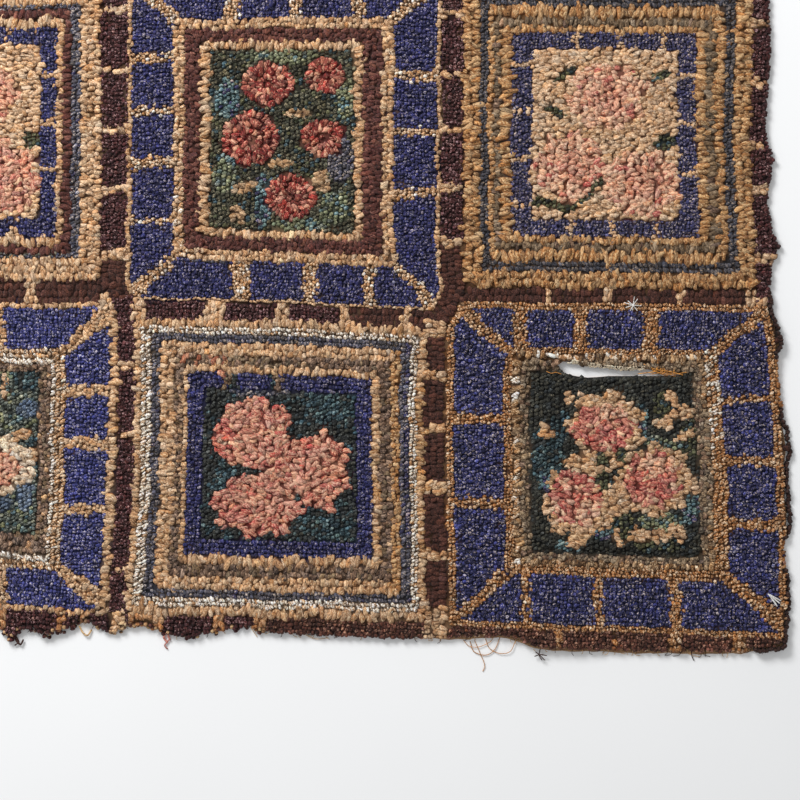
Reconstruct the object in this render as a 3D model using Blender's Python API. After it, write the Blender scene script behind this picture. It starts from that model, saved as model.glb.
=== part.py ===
"""A hooked hearth rug lying flat: wool loops worked through a coarse foundation cloth.

Run it with blender --background --python part.py, or from Blender's text editor.
Metres, +Z up. The origin is on the floor under the middle of the rug. +X runs along the
long side, and -Y points to the worn front edge. The tables are in millimetres.
"""

from collections import namedtuple
from math import sin

import bpy
import numpy as np
from mathutils import Vector
from mathutils.geometry import delaunay_2d_cdt

MM = 0.001

# Driving sizes
WIDTH = 1.115
DEPTH = 0.772
FOUNDATION_THICKNESS = 0.0012
PILE_HEIGHT = 0.0062
GAP = 0.0003

# The layout: blocks of loops with a frame of sashes between and round them
COLUMNS = 3
ROWS = 2
SASH_HALF = 0.013
SASH_DROP = 0.0009
SLOPE = 0.004
SEAM_DROP = 0.0007
SEAM_HALF = 0.005

# How closely the solids follow the shape
OUTLINE_STEP = 0.010
FLOOR_STEP = 0.060
CLEAR_OF_EDGE = 0.007
CORNER_CUT = 0.008

# The rims: how far the loops lean out over the foundation, and the foundation shows past the loops
PILE_LEAN = 0.0016
PILE_ROUND = 0.0018
HEM_LEAN = 0.0002
HEM_SHOWS = 0.0034
HEM_STARTS, HEM_ENDS = 0.130, 0.200
RAG = 0.0011

# Where along an edge, from the rug's middle, and how far inside the overall size the edge lies there
Station = namedtuple("Station", "along inset")
FRONT_EDGE = [
    Station(-560, 24), Station(-470, 31), Station(-390, 25), Station(-313, 31), Station(-302, 15),
    Station(-290, 31), Station(-258, 22), Station(-221, 37), Station(-187, 23), Station(-172, 32),
    Station(-148, 31), Station(-112, 18), Station(-66, 27), Station(-38, 31), Station(-20, 24),
    Station(61, 20), Station(171, 16), Station(248, 18), Station(281, 5), Station(391, 1),
    Station(508, 0), Station(514, 4), Station(560, 6),
]
BACK_EDGE = [
    Station(-560, 9), Station(-430, 4), Station(-310, 12), Station(-180, 6), Station(-60, 0),
    Station(80, 8), Station(210, 3), Station(330, 11), Station(450, 5), Station(560, 10),
]
LEFT_EDGE = [
    Station(-390, 10), Station(-290, 3), Station(-170, 9), Station(-40, 0), Station(70, 8),
    Station(190, 2), Station(300, 10), Station(390, 6),
]
RIGHT_EDGE = [
    Station(-390, 7), Station(-346, 1), Station(-261, 5), Station(-242, 0), Station(-182, 5),
    Station(-160, 1), Station(-126, 7), Station(-52, 14), Station(-41, 8), Station(-5, 20),
    Station(22, 21), Station(53, 17), Station(64, 9), Station(77, 17), Station(116, 24),
    Station(160, 17), Station(190, 26), Station(280, 20), Station(390, 24),
]

# The middle lines of the sashes. One that runs front to back gives x at y, the others y at x.
Point = namedtuple("Point", "along place")
UPRIGHT_SASHES = [
    [Point(-390, -542), Point(390, -544)],
    [Point(-325, -186), Point(-215, -178), Point(-50, -175), Point(-11, -176), Point(22, -188), Point(390, -186)],
    [Point(-325, 168), Point(-105, 165), Point(-22, 168), Point(16, 188), Point(82, 184), Point(390, 186)],
    [Point(-369, 553), Point(-193, 550), Point(-61, 540), Point(5, 532), Point(189, 524), Point(390, 527)],
]
LEVEL_SASHES = [
    [Point(-560, -345), Point(-313, -342), Point(-187, -349), Point(72, -355), Point(182, -360), Point(545, -374)],
    [
        Point(-560, 13), Point(-209, 14), Point(-159, -3), Point(17, -8), Point(171, -16), Point(198, 9),
        Point(512, 6), Point(560, 4),
    ],
    [Point(-560, 366), Point(0, 371), Point(560, 367)],
]

# How far a block's flower panel lies from the sash lines round it, and how deep the groove at its edge is
Panel = namedtuple("Panel", "column row left right front back groove")
PANELS = [
    Panel(0, 0, 90, 93, 88, 90, 0.8),
    Panel(1, 0, 81, 83, 82, 84, 0.7),
    Panel(2, 0, 104, 92, 94, 80, 2.2),
    Panel(0, 1, 90, 93, 92, 90, 0.6),
    Panel(1, 1, 106, 103, 87, 96, 0.7),
    Panel(2, 1, 88, 90, 82, 84, 0.6),
]

# The tear through both layers: its two long sides, from left to right
Slit = namedtuple("Slit", "along back front")
TEAR = [
    Slit(302, -65, -68), Slit(310, -62, -73), Slit(320, -63, -78), Slit(336, -66, -80), Slit(358, -69, -78),
    Slit(380, -71, -78), Slit(391, -69, -78), Slit(402, -71, -78), Slit(418, -73, -78), Slit(436, -75, -77),
]

# Places where the edge doesn't lie quite on the floor
Lift = namedtuple("Lift", "x y reach height")
LIFTS = [
    Lift(300, -380, 75, 3.0), Lift(-255, -365, 60, 2.2), Lift(560, -40, 55, 2.0), Lift(545, -385, 40, 2.4),
    Lift(-560, 190, 70, 2.0), Lift(90, 390, 80, 2.2),
]

# The long, low swells of a rug that has been rolled and walked on
Swell = namedtuple("Swell", "along_x along_y phase height")
SWELLS = [Swell(9.1, 3.7, 0.4, 0.5), Swell(-5.3, 13.9, 1.9, 0.4), Swell(19.0, 17.0, 3.1, 0.25)]

FOUNDATION_COLOUR = (0.42, 0.26, 0.12, 1.0)
PILE_COLOUR = (0.36, 0.25, 0.17, 1.0)
WOOL_ROUGHNESS = 0.92


def clear_scene():
    for thing in list(bpy.data.objects):
        bpy.data.objects.remove(thing, do_unlink=True)


def cloth_material(name, colour):
    material = bpy.data.materials.new(name)
    material.use_nodes = True
    shader = material.node_tree.nodes["Principled BSDF"]
    shader.inputs["Base Color"].default_value = colour
    shader.inputs["Roughness"].default_value = WOOL_ROUGHNESS
    shader.inputs["Metallic"].default_value = 0.0
    return material


def along_table(rows, at):
    """The second column of a table at the place given in metres, read off straight lines between its rows."""
    places = [row[0] * MM for row in rows]
    values = [row[1] * MM for row in rows]
    return np.interp(at, places, values)


def ragged(at, turn):
    """A small uneven inset, from 0 to about two RAGs, that differs for each edge."""
    return RAG * (2 + sin(at * 270 + turn) + sin(at * 611 + 2 * turn)) / 2


def edge_point(side, at):
    """The point of one edge that lies at this place along it."""
    if side == "front":
        return np.array((at, -DEPTH / 2 + along_table(FRONT_EDGE, at) + ragged(at, 0.3)))
    if side == "back":
        return np.array((at, DEPTH / 2 - along_table(BACK_EDGE, at) - ragged(at, 1.7)))
    if side == "left":
        return np.array((-WIDTH / 2 + along_table(LEFT_EDGE, at) + ragged(at, 2.9), at))
    return np.array((WIDTH / 2 - along_table(RIGHT_EDGE, at) - ragged(at, 4.1), at))


def corner(level, upright):
    """Where a front or back edge meets a left or right one."""
    x = WIDTH / 2 if upright == "right" else -WIDTH / 2
    for _ in range(4):
        y = edge_point(level, x)[1]
        x = edge_point(upright, y)[0]
    return np.array((x, y))


def stretch(side, start, end):
    """Points along one edge from just after one corner to just before the next, which rounds both corners."""
    axis = 0 if side in ("front", "back") else 1
    way = 1 if end[axis] > start[axis] else -1
    first = start[axis] + way * CORNER_CUT
    last = end[axis] - way * CORNER_CUT
    steps = int(abs(last - first) / OUTLINE_STEP)
    return [edge_point(side, at) for at in np.linspace(first, last, steps + 1)]


def rug_outline():
    """The rug's outline, anticlockwise from the front left corner."""
    front_left, front_right = corner("front", "left"), corner("front", "right")
    back_left, back_right = corner("back", "left"), corner("back", "right")
    points = stretch("front", front_left, front_right)
    points += stretch("right", front_right, back_right)
    points += stretch("back", back_right, back_left)
    points += stretch("left", back_left, front_left)
    return np.array(points)


def tear_outline():
    """The tear's outline, clockwise, so that the cloth is on its left as it is on the outline's."""
    back = [(row.along * MM, row.back * MM) for row in TEAR]
    front = [(row.along * MM, row.front * MM) for row in TEAR]
    return np.array(back + front[::-1])


def outward(ring):
    """The direction away from the cloth at each point of a ring that has the cloth on its left."""
    along = np.roll(ring, -1, axis=0) - np.roll(ring, 1, axis=0)
    along /= np.linalg.norm(along, axis=1, keepdims=True)
    return np.stack((along[:, 1], -along[:, 0]), axis=1)


def hem_share(ring):
    """1 where the foundation's turned edge shows past the loops, which is the right part of the front edge."""
    share = np.clip((ring[:, 0] - HEM_STARTS) / (HEM_ENDS - HEM_STARTS), 0, 1)
    return share * (ring[:, 1] < -DEPTH / 2 + 0.05)


def lift(x, y):
    """How far the rug is off the floor at a point: smooth humps that die out at their reach."""
    height = 0.0
    for row in LIFTS:
        away = ((x - row.x * MM) ** 2 + (y - row.y * MM) ** 2) / (row.reach * MM) ** 2
        height += row.height * MM * max(0.0, 1 - away) ** 2
    return height


def sash_x(line, y):
    return along_table(UPRIGHT_SASHES[line], y)


def sash_y(line, x):
    return along_table(LEVEL_SASHES[line], x)


def fade(distance, half, slope):
    """1 within half of a line, 0 past half plus slope, and straight between."""
    return float(np.clip((half + slope - abs(distance)) / slope, 0, 1))


def groove_depth(x, y):
    """The depth of the groove round the flower panel of the block that the point lies in."""
    for row in PANELS:
        left = x - sash_x(row.column, y) - row.left * MM
        right = sash_x(row.column + 1, y) - row.right * MM - x
        front = y - sash_y(row.row, x) - row.front * MM
        back = sash_y(row.row + 1, x) - row.back * MM - y
        inside = min(left, right, front, back)
        if abs(inside) < SEAM_HALF + SLOPE:
            return row.groove * MM * fade(inside, SEAM_HALF / 2, SLOPE)
    return 0.0


def surface_height(x, y):
    """The top of the loops: swells, with the sashes worn lower and a groove round each flower panel."""
    height = FOUNDATION_THICKNESS + GAP + PILE_HEIGHT
    for row in SWELLS:
        height += row.height * MM * sin(x * row.along_x + y * row.along_y + row.phase)
    sash = max(
        max(fade(x - sash_x(line, y), SASH_HALF, SLOPE) for line in range(COLUMNS + 1)),
        max(fade(y - sash_y(line, x), SASH_HALF, SLOPE) for line in range(ROWS + 1)),
    )
    return height + lift(x, y) - SASH_DROP * sash - groove_depth(x, y)


def block_offsets(near, far, span):
    """Offsets across one block from its first sash line: sash edge, frame, panel groove, panel and back out."""
    sash = [0.0, SASH_HALF, SASH_HALF + SLOPE]
    frame = [(SASH_HALF + near) / 2, near - SEAM_HALF, near, near + SEAM_HALF]
    middle = [near + (span - near - far) * share for share in (0.25, 0.5, 0.75)]
    frame_back = [span - far - SEAM_HALF, span - far, span - far + SEAM_HALF, span - (SASH_HALF + far) / 2]
    sash_back = [span - SASH_HALF - SLOPE, span - SASH_HALF]
    return sash + frame + middle + frame_back + sash_back


def pattern_points():
    """Points on the sashes' edges and round the panels, so that the faces break where the relief does."""
    points = []
    for row in PANELS:
        span_x = (WIDTH - 2 * SASH_HALF) / COLUMNS
        span_y = (DEPTH - 2 * SASH_HALF) / ROWS
        across = block_offsets(row.left * MM, row.right * MM, span_x)
        deep = block_offsets(row.front * MM, row.back * MM, span_y)
        for offset_x in across:
            for offset_y in deep:
                points.append(warped(row, offset_x / span_x, offset_y / span_y))
    return points


def warped(row, share_x, share_y):
    """The point at these shares of the way across a block, between its own wandering sash lines."""
    x, y = 0.0, 0.0
    for _ in range(4):
        left, right = sash_x(row.column, y), sash_x(row.column + 1, y)
        x = left + (right - left) * share_x
        front, back = sash_y(row.row, x), sash_y(row.row + 1, x)
        y = front + (back - front) * share_y
    return (x, y)


def floor_points():
    """A wide grid of points for the level faces."""
    across = np.arange(-WIDTH / 2 + FLOOR_STEP / 2, WIDTH / 2, FLOOR_STEP)
    deep = np.arange(-DEPTH / 2 + FLOOR_STEP / 2, DEPTH / 2, FLOOR_STEP)
    return [(x, y) for x in across for y in deep]


def well_inside(points, rings):
    """The points that lie within the outline, outside the tear, and clear of both."""
    kept = []
    for point in np.array(points):
        turns = 0.0
        nearest = np.inf
        for ring in rings:
            arms = ring - point
            angles = np.arctan2(arms[:, 1], arms[:, 0])
            steps = np.diff(np.append(angles, angles[0]))
            turns += ((steps + np.pi) % (2 * np.pi) - np.pi).sum()
            nearest = min(nearest, np.linalg.norm(arms, axis=1).min())
        if turns > np.pi and nearest > CLEAR_OF_EDGE:
            kept.append(tuple(point))
    return kept


def faces_between(rings, inner):
    """Triangles that fill the outline round the tear, through the inner points: (points, faces)."""
    places = [Vector(point) for ring in rings for point in ring] + [Vector(point) for point in inner]
    edges = []
    start = 0
    for ring in rings:
        count = len(ring)
        edges += [(start + i, start + (i + 1) % count) for i in range(count)]
        start += count
    found = delaunay_2d_cdt(places, edges, [], 0, 1e-6)
    points = np.array([tuple(point) for point in found[0]])
    tear = rings[1]
    faces = []
    for face in found[2]:
        middle = points[list(face)].mean(axis=0)
        arms = tear - middle
        angles = np.arctan2(arms[:, 1], arms[:, 0])
        steps = np.diff(np.append(angles, angles[0]))
        in_tear = abs(((steps + np.pi) % (2 * np.pi) - np.pi).sum()) > np.pi
        on_rug = abs(winding(rings[0], middle)) > np.pi
        if on_rug and not in_tear:
            faces.append(face)
    return points, faces


def winding(ring, point):
    """The angle through which a ring turns round a point."""
    arms = ring - point
    angles = np.arctan2(arms[:, 1], arms[:, 0])
    steps = np.diff(np.append(angles, angles[0]))
    return ((steps + np.pi) % (2 * np.pi) - np.pi).sum()


def layer(name, base, base_height, top, top_height, belly_rings, belly_height, material):
    """A closed layer of cloth: a lower face, an upper face, and between their rims a belly that leans out.

    base and top are (points, faces) whose first points are the rims, in the same order. Each height is a
    function of x and y.
    """
    belly = np.concatenate(belly_rings)
    rim = len(belly)
    low, high = base[0], top[0]
    vertices = [(x, y, base_height(x, y)) for x, y in low]
    vertices += [(x, y, top_height(x, y)) for x, y in high]
    vertices += [(x, y, belly_height(x, y)) for x, y in belly]
    to_high, to_belly = len(low), len(low) + len(high)
    faces = [tuple(reversed(face)) for face in base[1]]
    faces += [tuple(to_high + i for i in face) for face in top[1]]
    start = 0
    for ring in belly_rings:
        for i in range(len(ring)):
            a, b = start + i, start + (i + 1) % len(ring)
            faces.append((a, b, to_belly + b, to_belly + a))
            faces.append((to_belly + a, to_belly + b, to_high + b, to_high + a))
        start += len(ring)
    assert start == rim
    mesh = bpy.data.meshes.new(name)
    mesh.from_pydata(vertices, [], faces)
    mesh.materials.append(material)
    mesh.shade_flat()
    thing = bpy.data.objects.new(name, mesh)
    bpy.context.scene.collection.objects.link(thing)
    return thing


def move_over_origin(things):
    """Move the meshes together, so that the origin is on the floor under the middle of their shared box."""
    corners = np.array([vertex.co for thing in things for vertex in thing.data.vertices])
    middle = (corners.min(axis=0) + corners.max(axis=0)) / 2
    for thing in things:
        for vertex in thing.data.vertices:
            vertex.co.x -= middle[0]
            vertex.co.y -= middle[1]


def build():
    clear_scene()
    outline = rug_outline()
    outline_seam = outline - outward(outline) * PILE_LEAN
    out = outward(outline_seam)
    hem = hem_share(outline_seam)[:, None]
    tear = tear_outline()

    seam_rings = [outline_seam, tear]
    hem_rings = [outline_seam + out * (HEM_LEAN * (1 - hem) + PILE_LEAN * hem), tear]
    pile_rings = [outline_seam + out * (PILE_LEAN * (1 - hem) - HEM_SHOWS * hem / 2), tear]
    crown_rings = [outline_seam - out * (PILE_ROUND + HEM_SHOWS * hem), tear - outward(tear) * PILE_ROUND]

    level = faces_between(seam_rings, well_inside(floor_points(), seam_rings))
    crown = faces_between(crown_rings, well_inside(pattern_points(), crown_rings))

    under_pile = FOUNDATION_THICKNESS + GAP
    foundation = layer(
        "foundation_cloth",
        level, lift,
        level, lambda x, y: FOUNDATION_THICKNESS + lift(x, y),
        hem_rings, lambda x, y: FOUNDATION_THICKNESS / 2 + lift(x, y),
        cloth_material("foundation", FOUNDATION_COLOUR),
    )
    pile = layer(
        "loop_pile",
        level, lambda x, y: under_pile + lift(x, y),
        crown, surface_height,
        pile_rings, lambda x, y: under_pile + PILE_HEIGHT * 0.55 + lift(x, y),
        cloth_material("loops", PILE_COLOUR),
    )
    move_over_origin([foundation, pile])


build()
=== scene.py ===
"""The looks of a hooked hearth rug: its wool loops, burlap and loose threads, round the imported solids.

Places and sizes are in millimetres from the rug's middle, with +X to the right and +Y to the back, and are
turned into metres where a mesh is made. Colours are named as they look: red, green and blue from 0 to 255.
"""

from collections import namedtuple
from statistics import NormalDist

import bpy
import numpy as np
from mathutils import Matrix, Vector


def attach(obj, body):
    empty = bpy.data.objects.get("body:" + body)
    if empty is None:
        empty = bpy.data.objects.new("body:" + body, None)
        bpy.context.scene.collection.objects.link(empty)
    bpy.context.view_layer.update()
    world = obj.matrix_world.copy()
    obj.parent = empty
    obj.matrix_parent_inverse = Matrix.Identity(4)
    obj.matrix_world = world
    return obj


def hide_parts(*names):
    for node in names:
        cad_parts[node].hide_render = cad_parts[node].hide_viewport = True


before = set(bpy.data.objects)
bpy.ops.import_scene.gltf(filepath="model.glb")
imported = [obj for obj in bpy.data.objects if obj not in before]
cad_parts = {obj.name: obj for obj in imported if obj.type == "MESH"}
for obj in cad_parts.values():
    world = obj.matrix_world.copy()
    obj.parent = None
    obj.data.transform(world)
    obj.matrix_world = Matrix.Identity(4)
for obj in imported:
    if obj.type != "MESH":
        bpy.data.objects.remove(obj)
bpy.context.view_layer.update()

MM = 0.001
SEED = 1907
rng = np.random.default_rng(SEED)

# The rug's driving sizes, as in its solids
WIDTH = 1115.0
DEPTH = 772.0
FOUNDATION_THICKNESS = 1.2
GAP = 0.3
PILE_HEIGHT = 6.2
SASH_HALF = 13.0
SASH_DROP = 0.9
SLOPE = 4.0
SEAM_HALF = 5.0
CORNER_ROUND = 9.0
HEM_STARTS, HEM_ENDS = 130.0, 200.0
HEM_SHOWS = 2.4
ROLL_SHOWS = -1.6
ROLL_OUT = 4.4
RAG = 1.1
CENTRED = np.array((0.44, -0.14))

# Where along an edge, and how far inside the overall size the edge lies there
FRONT_EDGE = [
    (-560, 24), (-470, 31), (-390, 25), (-313, 31), (-302, 15), (-290, 31), (-258, 22), (-221, 37),
    (-187, 23), (-172, 32), (-148, 31), (-112, 18), (-66, 27), (-38, 31), (-20, 24), (61, 20), (171, 16),
    (248, 18), (281, 5), (391, 1), (508, 0), (514, 4), (560, 6),
]
BACK_EDGE = [
    (-560, 9), (-430, 4), (-310, 12), (-180, 6), (-60, 0), (80, 8), (210, 3), (330, 11), (450, 5), (560, 10),
]
LEFT_EDGE = [(-390, 10), (-290, 3), (-170, 9), (-40, 0), (70, 8), (190, 2), (300, 10), (390, 6)]
RIGHT_EDGE = [
    (-390, 7), (-346, 1), (-261, 5), (-242, 0), (-182, 5), (-160, 1), (-126, 7), (-52, 14), (-41, 8),
    (-5, 20), (22, 21), (53, 17), (64, 9), (77, 17), (116, 24), (160, 17), (190, 26), (280, 20), (390, 24),
]

# How much of a dark roll of brushed wool shows outside the right edge, from 0 to 1, by place along it
ROLL = [
    (-390, 1.0), (-300, 0.8), (-284, 0.0), (-262, 0.0), (-250, 0.9), (-165, 1.0), (-134, 1.0), (-126, 0.3),
    (-112, 0.3), (-106, 0.0), (-66, 0.0), (-56, 0.5), (8, 0.5), (20, 0.0),
]

# The middle lines of the sashes: one that runs front to back gives x at y, the others y at x
UPRIGHT_SASHES = [
    [(-390, -542), (390, -544)],
    [(-325, -186), (-215, -178), (-50, -175), (-11, -176), (22, -188), (390, -186)],
    [(-325, 168), (-105, 165), (-22, 168), (16, 188), (82, 184), (390, 186)],
    [(-369, 553), (-193, 550), (-61, 540), (5, 532), (189, 524), (390, 527)],
]
LEVEL_SASHES = [
    [(-560, -345), (-313, -342), (-187, -349), (72, -355), (182, -360), (545, -374)],
    [(-560, 13), (-209, 14), (-159, -3), (17, -8), (171, -16), (198, 9), (512, 6), (560, 4)],
    [(-560, 366), (0, 371), (560, 367)],
]

# The tear through both layers: where along it, and its back and front sides
TEAR = [
    (302, -62, -71), (310, -62, -75), (320, -63, -78), (336, -66, -80), (358, -69, -78),
    (380, -71, -78), (391, -69, -78), (402, -71, -78), (418, -73, -78), (436, -75, -77),
]
TEAR_LEFT, TEAR_RIGHT = TEAR[0][0], TEAR[-1][0]

# A slit that runs on from the tear: its line, how far off the rows draw apart, and the least gap they leave
SLIT = [(256, -57.5), (302, -60.5)]
SLIT_REACH, SLIT_OPENS = 5.5, 0.7

# Places where the edge doesn't lie quite on the floor, and the long low swells of a worn rug
Lift = namedtuple("Lift", "x y reach height")
LIFTS = [
    Lift(300, -380, 75, 3.0), Lift(-255, -365, 60, 2.2), Lift(560, -40, 55, 2.0), Lift(545, -385, 40, 2.4),
    Lift(-560, 190, 70, 2.0), Lift(90, 390, 80, 2.2),
]
Swell = namedtuple("Swell", "along_x along_y phase height")
SWELLS = [Swell(9.1, 3.7, 0.4, 0.5), Swell(-5.3, 13.9, 1.9, 0.4), Swell(19.0, 17.0, 3.1, 0.25)]

# How far a block's flower panel lies from the sash lines round it, and the depth of the groove at its edge
Panel = namedtuple("Panel", "column row left right front back groove")
PANELS = [
    Panel(0, 0, 90, 93, 88, 90, 0.8), Panel(1, 0, 81, 83, 82, 84, 0.7), Panel(2, 0, 104, 92, 94, 80, 2.2),
    Panel(0, 1, 90, 93, 92, 90, 0.6), Panel(1, 1, 106, 103, 87, 96, 0.7), Panel(2, 1, 88, 90, 82, 84, 0.6),
]

# Each yarn: how it is worked, a loop's size across and along its row, its colour and the colour of its pale
# fibres, the shares of pale and of dark fibres, how much one loop differs from the next, how patchy it is,
# and how far it stands above the rest
Yarn = namedtuple("Yarn", "work across along colour light pale dark spread patch stands")
YARNS = {
    "camel": Yarn("strip", 7.6, 4.3, (178, 132, 92), (222, 190, 152), 0.34, 0.08, 0.12, 0.10, 0.3),
    "camel_pale": Yarn("strip", 7.4, 4.2, (192, 148, 108), (230, 200, 166), 0.36, 0.07, 0.11, 0.08, 0.3),
    "camel_gold": Yarn("strip", 7.6, 4.3, (164, 114, 68), (212, 176, 130), 0.34, 0.10, 0.13, 0.10, 0.3),
    "camel_marl": Yarn("yarn", 4.8, 3.3, (180, 134, 92), (236, 216, 190), 0.30, 0.24, 0.18, 0.10, 0.2),
    "orange": Yarn("strip", 7.2, 4.3, (178, 120, 74), (222, 184, 142), 0.20, 0.16, 0.18, 0.10, 0.2),
    "rust": Yarn("strip", 6.8, 4.0, (146, 84, 60), (196, 142, 112), 0.20, 0.16, 0.20, 0.12, 0.2),
    "cream": Yarn("yarn", 5.2, 3.2, (192, 164, 136), (250, 244, 232), 0.46, 0.24, 0.20, 0.12, 0.3),
    "ridge": Yarn("strip", 6.8, 4.3, (134, 98, 62), (204, 174, 138), 0.24, 0.26, 0.24, 0.20, 0.9),
    "speckle": Yarn("yarn", 4.7, 3.3, (160, 106, 60), (226, 196, 160), 0.25, 0.27, 0.18, 0.12, 0.1),
    "taupe": Yarn("strip", 6.2, 4.1, (108, 84, 68), (176, 146, 122), 0.20, 0.22, 0.22, 0.18, 0.0),
    "greige": Yarn("strip", 6.4, 4.6, (126, 104, 80), (186, 164, 136), 0.22, 0.24, 0.20, 0.18, 0.1),
    "olive": Yarn("strip", 6.4, 4.2, (116, 94, 70), (164, 142, 116), 0.20, 0.20, 0.20, 0.16, 0.0),
    "slate": Yarn("yarn", 4.4, 3.7, (84, 82, 94), (186, 170, 156), 0.18, 0.22, 0.22, 0.12, 0.0),
    "slate_brown": Yarn("yarn", 4.4, 3.7, (72, 70, 76), (156, 136, 116), 0.16, 0.22, 0.22, 0.12, 0.0),
    "grey_green": Yarn("yarn", 4.4, 4.0, (90, 88, 78), (154, 142, 122), 0.16, 0.22, 0.24, 0.12, 0.0),
    "maroon": Yarn("strip", 6.8, 4.2, (82, 42, 36), (142, 94, 78), 0.14, 0.16, 0.18, 0.10, 0.1),
    "heather": Yarn("yarn", 4.0, 3.9, (68, 33, 33), (168, 134, 132), 0.15, 0.25, 0.24, 0.12, 0.0),
    "plush": Yarn("plush", 5.4, 4.2, (66, 35, 26), (104, 66, 54), 0.20, 0.22, 0.18, 0.24, -0.5),
    "plush_warm": Yarn("yarn", 4.6, 4.0, (90, 54, 42), (178, 136, 112), 0.20, 0.26, 0.26, 0.30, -0.3),
    "blue": Yarn("yarn", 3.9, 3.8, (47, 48, 90), (184, 170, 164), 0.18, 0.27, 0.24, 0.14, 0.0),
    "blue_bright": Yarn("yarn", 3.9, 3.8, (58, 60, 116), (182, 174, 182), 0.19, 0.24, 0.24, 0.12, 0.0),
    "blue_dark": Yarn("yarn", 3.9, 3.8, (46, 46, 92), (164, 154, 160), 0.17, 0.24, 0.24, 0.12, 0.0),
    "blue_dusty": Yarn("yarn", 3.9, 3.8, (62, 60, 94), (182, 164, 152), 0.19, 0.24, 0.24, 0.12, 0.0),
    "rose": Yarn("strip", 8.4, 4.6, (172, 84, 72), (216, 164, 138), 0.60, 0.06, 0.14, 0.12, 0.4),
    "rose_red": Yarn("strip", 8.2, 4.5, (170, 72, 66), (210, 146, 124), 0.52, 0.06, 0.16, 0.14, 0.4),
    "rose_pale": Yarn("strip", 8.0, 4.5, (200, 134, 106), (228, 188, 156), 0.62, 0.05, 0.12, 0.10, 0.3),
    "salmon": Yarn("strip", 8.0, 4.5, (192, 118, 94), (222, 174, 144), 0.58, 0.06, 0.14, 0.12, 0.3),
    "red": Yarn("strip", 7.0, 4.0, (132, 44, 38), (206, 150, 124), 0.24, 0.16, 0.28, 0.16, 0.4),
    "tan": Yarn("strip", 6.8, 4.2, (164, 126, 88), (216, 186, 150), 0.20, 0.14, 0.20, 0.10, 0.3),
    "cream_rose": Yarn("strip", 7.8, 4.5, (206, 178, 148), (240, 224, 200), 0.28, 0.10, 0.16, 0.10, 0.4),
    "leaf": Yarn("yarn", 4.4, 4.0, (108, 112, 84), (180, 176, 144), 0.20, 0.24, 0.26, 0.16, 0.1),
    "leaf_dark": Yarn("yarn", 4.4, 4.0, (76, 76, 52), (142, 136, 104), 0.15, 0.28, 0.28, 0.16, 0.1),
    "teal": Yarn("yarn", 4.4, 4.0, (78, 102, 106), (158, 172, 166), 0.20, 0.24, 0.26, 0.16, 0.1),
    "teal_dark": Yarn("yarn", 4.4, 4.0, (44, 62, 68), (120, 136, 134), 0.17, 0.28, 0.30, 0.18, 0.0),
    "green": Yarn("yarn", 4.4, 4.0, (66, 64, 50), (146, 134, 108), 0.16, 0.28, 0.34, 0.26, 0.0),
    "storm": Yarn("yarn", 4.6, 4.0, (84, 98, 118), (152, 160, 166), 0.20, 0.22, 0.22, 0.14, 0.1),
    "night": Yarn("yarn", 4.4, 4.0, (48, 50, 48), (112, 112, 106), 0.12, 0.30, 0.30, 0.18, 0.0),
    "forest": Yarn("yarn", 4.4, 4.0, (48, 48, 42), (108, 102, 88), 0.12, 0.30, 0.32, 0.22, 0.0),
    "moss": Yarn("yarn", 4.4, 4.0, (82, 88, 80), (164, 166, 152), 0.22, 0.26, 0.34, 0.22, 0.0),
}
YARN_NAMES = list(YARNS)
YARN_AT = {name: place for place, name in enumerate(YARN_NAMES)}

# Each block's rings from the sash inwards, the panel's ground, and where the rings begin on each side,
# measured from the sash lines. The last place is where the panel begins.
Frame = namedtuple("Frame", "column row ground rings left right front back")
FRAMES = [
    Frame(
        0, 0, "moss", ("camel", "blue_bright", "camel_marl", "cream", "taupe"),
        (9, 18, 64, 75, 80, 91), (9, 18, 64, 76, 81, 93),
        (7, 12, 53, 63, 71, 91), (12, 17, 61, 71, 79, 87),
    ),
    Frame(
        1, 0, "night", ("camel", "cream", "slate", "camel", "taupe", "camel", "blue_dark"),
        (11, 18, 30, 40, 56, 65, 70, 87), (12, 20, 28, 39, 48, 60, 69, 86),
        (9, 19, 29, 38, 52, 66, 76, 93), (10, 19, 27, 36, 49, 61, 69, 86),
    ),
    Frame(
        2, 0, "forest", ("speckle", "blue", "speckle", "ridge", "greige"),
        (13, 21, 76, 85, 94, 104), (-2, 7, 62, 78, 84, 92),
        (7, 14, 67, 78, 84, 91), (5, 13, 55, 61, 69, 80),
    ),
    Frame(
        0, 1, "camel_pale", ("camel", "slate", "maroon", "camel", "blue_dark"),
        (15, 37, 48, 57, 64, 81), (15, 37, 48, 57, 64, 81),
        (14, 38, 43, 51, 62, 82), (14, 38, 43, 51, 62, 82),
    ),
    Frame(
        1, 1, "green", ("camel", "blue_dark", "camel", "maroon", "camel"),
        (15, 19, 65, 77, 94, 105), (13, 17, 64, 77, 98, 107),
        (10, 12, 55, 66, 81, 89), (10, 12, 55, 66, 81, 89),
    ),
    Frame(
        2, 1, "camel_pale", ("camel_gold", "slate_brown", "camel_gold", "olive", "camel_gold", "blue_dusty"),
        (13, 31, 40, 46, 53, 66, 89), (11, 29, 40, 50, 60, 71, 92),
        (12, 29, 40, 52, 61, 68, 86), (12, 29, 40, 52, 61, 68, 86),
    ),
]
TILE_RINGS = {(0, 0): 1, (1, 0): 6, (1, 1): 1, (2, 0): 1, (0, 1): 4, (2, 1): 5}

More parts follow.
